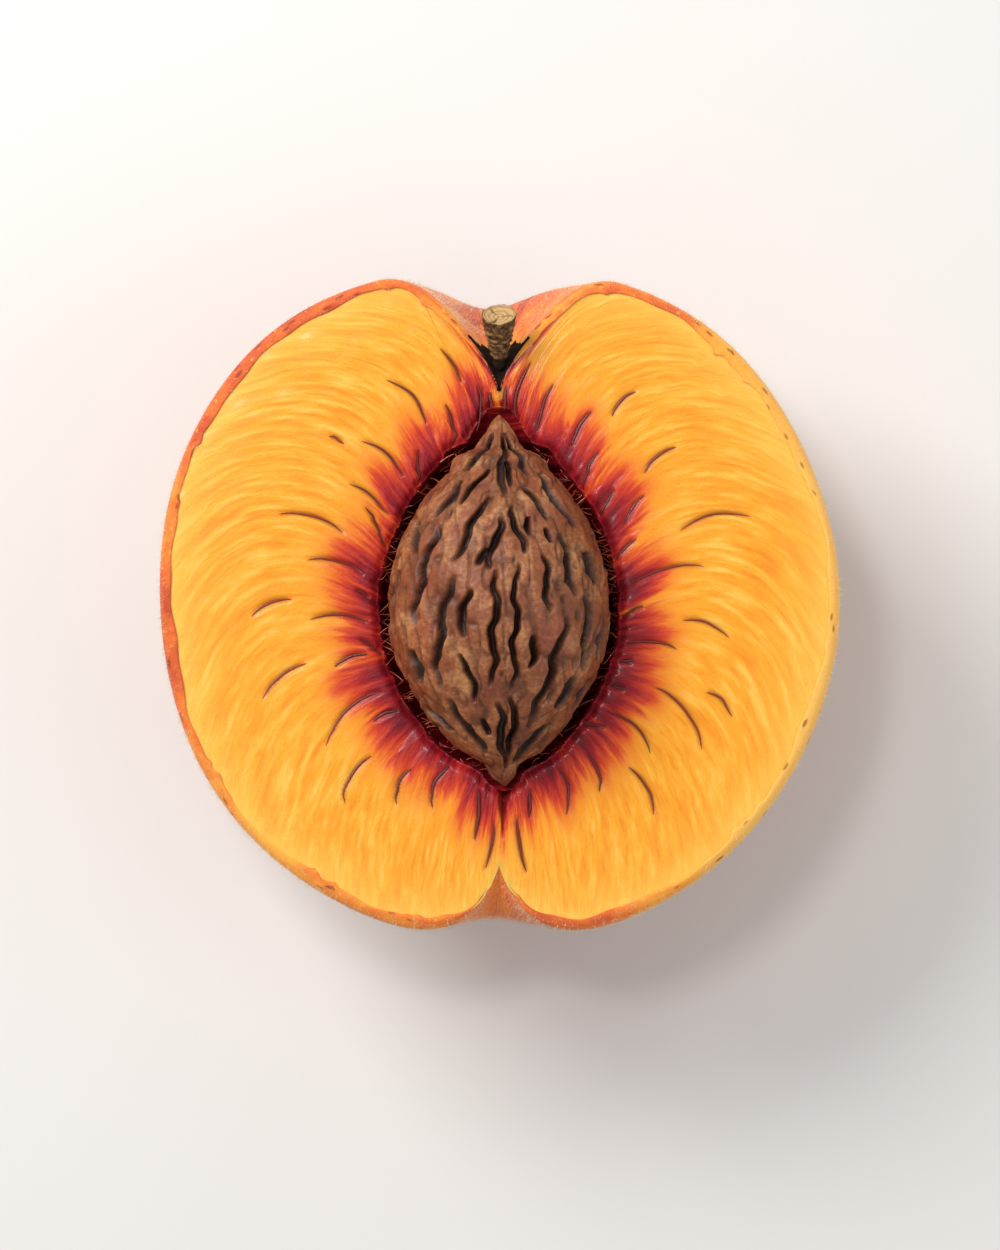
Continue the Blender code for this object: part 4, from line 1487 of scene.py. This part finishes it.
    def make(self) -> bpy.types.Object:
        """Build the stone: an ellipse across the axis at each height, with its relief on top.

        Returns:
            The stone piece, with the attributes furrow, the painted shade in furrows, pits and veins,
            and stain.
        """
        y = self.form.heights(self.rows)
        width = self.form.width_at(y)
        base = np.linspace(0.0, 2.0 * math.pi, self.columns, endpoint=False)
        turn = base + self.front_fineness * np.cos(base)
        half = self.form.half_width * width
        furrow = self.furrow_share(y, turn, half)
        pits = self.pits(y, turn, half)
        smooth = np.stack([half[:, None] * np.cos(turn) + self.form.bend_at(y)[:, None],
                           np.broadcast_to(y[:, None], furrow.shape),
                           self.form.half_thickness * width[:, None] * np.sin(turn)], axis=-1)
        noise = LatticeNoise(self.seed)
        long_grain = smooth * np.array([1.0, 0.36, 1.0])
        vein = np.exp(-(noise.at(long_grain, 1.25 * MM) / 0.13) ** 2)
        swell = 0.14 * MM * noise.at(smooth * np.array([1.0, 0.45, 1.0]), 1.5 * MM)
        rough = 0.06 * MM * noise.at(smooth, 0.42 * MM) + 0.05 * MM * noise.at(smooth, 0.25 * MM)
        ends = np.clip(width * self.form.half_width / (2.2 * MM), 0.0, 1.0)[:, None]
        relief = (self.keel(turn, half) - self.furrow_depth * furrow - 0.45 * MM * pits
                  - self.vein_depth * vein * (1.0 - furrow) + swell + rough - 0.08 * MM)
        outwards = unit(np.stack([np.cos(turn) / self.form.half_width, 0.0 * turn,
                                  np.sin(turn) / self.form.half_thickness], axis=-1))
        rings = smooth + outwards[None] * (ends * relief)[..., None]
        # painted shade: furrows, pits and veins darken the shell's colour by this share
        dark = np.clip(np.maximum(np.maximum(2.0 * furrow, 0.8 * pits), 0.5 * vein), 0.0, 1.0)
        level = np.clip((0.6 * MM - rings[..., 2]) / (3.0 * MM), 0.0, 1.0)
        stain = np.clip(0.55 * level + 0.45 * noise.at(smooth + 0.3, 4.5 * MM) - 0.05, 0.0, 0.8)
        piece = loft("stone_shell", rings + self.fruit.origin, {"furrow": dark * 0.96, "stain": stain})
        piece.data.materials.append(StoneShell().material())
        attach(piece, "root")
        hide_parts("stone")
        return piece


@dataclass
class GapFibres:
    """Fibres of flesh that still hold the stone: thin threads across the gap, sagging a little."""

    fruit: Fruit
    form: StoneForm
    count: int = 230
    torn_share: float = 0.5
    seed: int = 31

    def make(self) -> bpy.types.Object:
        """Build the threads between the hollow's wall and the stone.

        Each path is a straight line from the wall to the stone, bowed by a parabola to one side
        and down. Torn threads end on the way.

        Returns:
            The fibre piece, with the attribute shade.
        """
        rng = np.random.default_rng(self.seed)
        y = rng.uniform(self.form.bottom + 1.5 * MM, self.form.top - 3.2 * MM, self.count)
        side = rng.choice([-1.0, 1.0], self.count)
        width = self.form.width_at(y)
        depth = rng.uniform(0.5, 3.5, self.count) * MM
        thick = self.form.half_thickness * np.maximum(width, 0.2)
        drop = np.sqrt(np.clip(1.0 - (depth / thick) ** 2, 0.05, 1.0))
        outer = (self.form.half_width * width + self.form.gap_at_cut + 0.35 * MM) * drop
        inner = (self.form.half_width * width - 0.45 * MM) * drop
        start = np.stack([side * outer, y, -depth], axis=1)
        end = np.stack([side * inner, y + rng.normal(0, 1.1, self.count) * MM,
                        -depth + rng.normal(0.0, 0.5, self.count) * MM], axis=1)
        torn = rng.random(self.count) < self.torn_share
        reach = np.where(torn, rng.uniform(0.35, 0.75, self.count), 1.0)[:, None, None]
        share = np.linspace(0.0, 1.0, 10)[None, :, None]
        paths = start[:, None] + (end - start)[:, None] * share * reach
        bow = 4.0 * (share * (1.0 - share))[..., 0]
        paths[..., 1] += bow * rng.normal(0.0, 0.15, (self.count, 1)) * MM
        paths[..., 2] -= bow * rng.uniform(0.05, 0.5, (self.count, 1)) * MM
        thick = rng.uniform(0.035, 0.10, (self.count, 1)) * MM
        radii = thick * (1.0 - 0.6 * share[..., 0])
        radii[:, [0, -1]] = 0.0
        piece = tubes("gap_fibres", paths + self.fruit.origin, radii, 6,
                      {"shade": rng.random(self.count)})
        thread = FineThread("flesh_fibre_torn", "#C8582C", "#74140F", 0.35, coat=0.4)
        piece.data.materials.append(thread.material())
        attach(piece, "root")
        return piece


@dataclass
class Stem:
    """The stem stub: bark with uneven growth rings, painted dark at its foot as the hollow's shade,
    flared to a broken end.
    """

    fruit: Fruit
    length: float = 5.8 * MM
    lean: float = math.radians(40)
    foot_y: float = 25.3 * MM
    foot_radius: float = 0.5 * MM
    waist_radius: float = 1.2 * MM
    top_radius: float = 1.85 * MM
    ring_count: int = 8
    ring_height: float = 0.11 * MM
    # height up to which the foot is painted dark as the shade of the stem hollow
    foot_shade_height: float = 1.1 * MM
    sunk: float = 1.1 * MM
    rows: int = 110
    end_rows: int = 34
    columns: int = 96
    seed: int = 3

    def make(self) -> bpy.types.Object:
        """Build the stem: a round profile carried along its leaning axis, then over its end.

        The rings are a cosine of the way up, uneven in their spacing and strongest on the stem's
        two sides. The end is sunk in its middle, with rings of its own and three cracks.

        Returns:
            The stem piece, with the attributes end and crack, the painted shade of grooves, foot and
            splits together with the end's dark grain.
        """
        share = np.linspace(0.0, 1.0, self.rows)
        waist = self.foot_radius + (self.waist_radius - self.foot_radius) * np.sin(share * math.pi / 2)
        flare = (self.top_radius - self.waist_radius) * share ** 2.5
        angle = np.linspace(0.0, 2.0 * math.pi, self.columns, endpoint=False)
        tilt = 0.35 * np.sin(angle + 0.8)[None] / (2 * math.pi)
        uneven = share + 0.030 * np.sin(9.0 * share + 1.0) + 0.016 * np.sin(23.0 * share)
        ring = np.cos(2.0 * math.pi * (self.ring_count * uneven[:, None] + tilt))
        aside = 0.45 + 0.55 * np.abs(np.cos(angle))[None]
        sharp = np.sign(ring) * np.abs(ring) ** 0.7 * aside
        sharp = sharp * (0.75 + 0.25 * np.sin(13.0 * share))[:, None]
        rounding = np.sqrt(np.clip(1.0 - ((share - 0.93) / 0.07).clip(0.0, None) ** 2, 0.0, 1.0))
        radius = (waist + flare)[:, None] * (0.9 + 0.1 * rounding[:, None]) + self.ring_height * sharp
        out = np.linspace(1.0, 0.0, self.end_rows + 1)[1:]
        end_radius = out[:, None] * radius[-1:]
        height = np.concatenate([-self.sunk + share * (self.length + self.sunk),
                                 np.full(self.end_rows, self.length)])
        radius = np.concatenate([radius, end_radius])
        radius[0] = 0.0
        noise = LatticeNoise(self.seed)
        across = np.array([1.0, 0.0, 0.0])
        up = np.array([0.0, -math.sin(self.lean), math.cos(self.lean)])
        along = np.array([0.0, math.cos(self.lean), math.sin(self.lean)])
        circle = np.cos(angle)[:, None] * across + np.sin(angle)[:, None] * up
        local = np.stack([radius * np.cos(angle), radius * np.sin(angle),
                          height[:, None] + 0.0 * radius], axis=-1)
        bark = 0.14 * MM * noise.at(local * np.array([1.0, 1.0, 0.6]), 0.55 * MM)
        bark += 0.07 * MM * noise.at(local, 0.22 * MM)
        on_end = np.concatenate([np.zeros(self.rows), np.ones(self.end_rows)])[:, None]
        radius = np.maximum(radius + bark * (1.0 - on_end) * (radius > 0.3 * MM), 0.0)
        inner = np.concatenate([np.ones(self.rows), out])[:, None]
        grain = np.cos(inner * 21.0 + 1.5 * noise.at(local, 0.8 * MM))
        split = np.exp(-(wrapped(3 * angle + 1.3 * noise.at(local, 0.9 * MM)) / 0.38) ** 2)
        split = split * np.sin(math.pi * np.clip(inner, 0.0, 1.0)) ** 0.7 * on_end
        sink = on_end * (0.32 * MM * (1.0 - inner ** 3) + 0.03 * MM * grain
                         + 0.22 * MM * split + 0.10 * MM * noise.at(local, 0.5 * MM) * inner)
        centre = np.array([0.0, self.foot_y, 0.0])
        rings = centre + along * (height[:, None] - sink)[..., None] + circle[None] * radius[..., None]
        # painted shade: the rings' grooves, the foot inside the hollow and the end's splits are
        # darkened; the end's grain rings are its own colour
        grooves = np.clip(-1.5 * sharp - 0.2, 0.0, 0.85)
        foot = np.clip((self.foot_shade_height - height[:self.rows, None]) / (0.7 * MM), 0.0, 1.0)
        shade_and_dark_grain = np.concatenate([np.maximum(grooves, foot), np.zeros((self.end_rows, self.columns))])
        shade_and_dark_grain = np.maximum(shade_and_dark_grain, 0.85 * split)
        shade_and_dark_grain = np.maximum(shade_and_dark_grain, on_end * np.clip(0.35 * grain, 0.0, 1.0))
        piece = loft("stem_stub", rings + self.fruit.origin, {
            "end": (on_end * np.ones_like(radius)) * 0.9, "shade_and_dark_grain": shade_and_dark_grain})
        piece.data.materials.append(StemBark().material())
        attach(piece, "root")
        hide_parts("stem")
        return piece


# ---------------------------------------------------------------- the studio


@dataclass
class Studio:
    """A pale floor, soft lights, and a camera that looks straight down on the cut face."""

    fruit: Fruit
    width_in_view: float = 102.4 * MM
    aspect: float = 1.25
    lens: float = 150.0
    sensor: float = 36.0
    below_middle: float = 2.1 * MM
    floor_size: float = 4.0
    floor_colour: str = "#E2E0DD"
    floor_tooth: float = 900.0
    aim_height: float = 0.03
    sky_colour: str = "#F7F6F4"
    sky_strength: float = 0.43

    def floor(self) -> bpy.types.Object:
        """Lay a large flat floor at the height that the part rests on."""
        half = self.floor_size / 2.0
        points = np.array([[-half, -half, 0.0], [half, -half, 0.0],
                           [half, half, 0.0], [-half, half, 0.0]])
        floor = build_mesh("floor", points, np.array([[0, 1, 2, 3]]), {})
        material, tree, shader = new_material("paper_sweep_matt", {
            "Base Color": colour(self.floor_colour), "Roughness": 0.9})
        # uncoated paper: even, matt, with a tooth too fine to see that only breaks up the shine
        place = add_node(tree, "ShaderNodeTexCoord", {}).outputs["Object"]
        tooth = add_node(tree, "ShaderNodeTexNoise", {
            "Vector": place, "Scale": self.floor_tooth, "Detail": 2.0})
        bump = add_node(tree, "ShaderNodeBump", {
            "Height": tooth.outputs["Fac"], "Distance": 0.02 * MM, "Strength": 0.2})
        tree.links.new(bump.outputs[0], shader.inputs["Normal"])
        floor.data.materials.append(material)
        return floor

    def lamp(self, name: str, place: tuple[float, float, float], size: float, power: float,
             tint: str) -> None:
        """Hang one square soft light that faces the part.

        Args:
            name: The light's name.
            place: Where it hangs.
            size: Length of its sides.
            power: Its power in watts.
            tint: Its colour as sRGB hex.
        """
        data = bpy.data.lights.new(name, "AREA")
        data.size = size
        data.energy = power
        data.color = colour(tint)[:3]
        lamp = bpy.data.objects.new(name, data)
        lamp.location = place
        towards = Vector((0.0, 0.0, self.aim_height)) - Vector(place)
        lamp.rotation_euler = towards.to_track_quat("-Z", "Y").to_euler()
        bpy.context.scene.collection.objects.link(lamp)

    def camera(self) -> None:
        """Hang the camera over the cut face, at the distance that shows the width asked for."""
        data = bpy.data.cameras.new("camera")
        data.lens = self.lens
        data.sensor_width = self.sensor
        distance = self.width_in_view * self.aspect * self.lens / self.sensor
        data.clip_start = 0.01
        camera = bpy.data.objects.new("camera", data)
        camera.location = (0.0, -self.below_middle, float(self.fruit.origin[2]) + distance)
        bpy.context.scene.collection.objects.link(camera)
        bpy.context.scene.camera = camera

    def make(self) -> None:
        """Set up the floor, the lights, the sky and the camera."""
        self.floor()
        self.lamp("key_light", (-0.26, 0.24, 0.34), 0.22, 1.95, "#FFFDFA")
        self.lamp("gloss_light", (-0.09, 0.12, 0.55), 0.07, 0.55, "#FFFFFF")
        self.lamp("fill_light", (0.36, -0.10, 0.26), 0.35, 0.55, "#F2F6FF")
        self.lamp("rim_light", (0.10, 0.42, 0.22), 0.40, 0.18, "#FFFFFF")
        world = bpy.data.worlds.new("studio_sky")
        world.use_nodes = True
        sky = world.node_tree.nodes["Background"]
        sky.inputs["Color"].default_value = colour(self.sky_colour)
        sky.inputs["Strength"].default_value = self.sky_strength
        bpy.context.scene.world = world
        bpy.context.scene.view_settings.view_transform = "Standard"
        self.camera()


def clear_start_objects() -> None:
    """Remove the objects that a new file starts with."""
    for thing in list(bpy.data.objects):
        bpy.data.objects.remove(thing, do_unlink=True)


def main() -> None:
    """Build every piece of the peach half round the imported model, then light it."""
    logging.basicConfig(level=logging.INFO, format="%(name)s: %(message)s")
    clear_start_objects()
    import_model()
    fruit, form = Fruit(), StoneForm()
    face = CutFace(fruit, form)
    skin = Skin(fruit, face.ragged_edge())
    makers = (face, FibreBundles(face), skin, Down(fruit, skin.rings()), Stone(fruit, form),
              GapFibres(fruit, form), StemScarAndShade(fruit), Stem(fruit))
    for maker in makers:
        piece = maker.make()
        LOG.info("%s: %d faces", piece.name, len(piece.data.polygons))
    Studio(fruit).make()


if __name__ == "__main__":
    main()
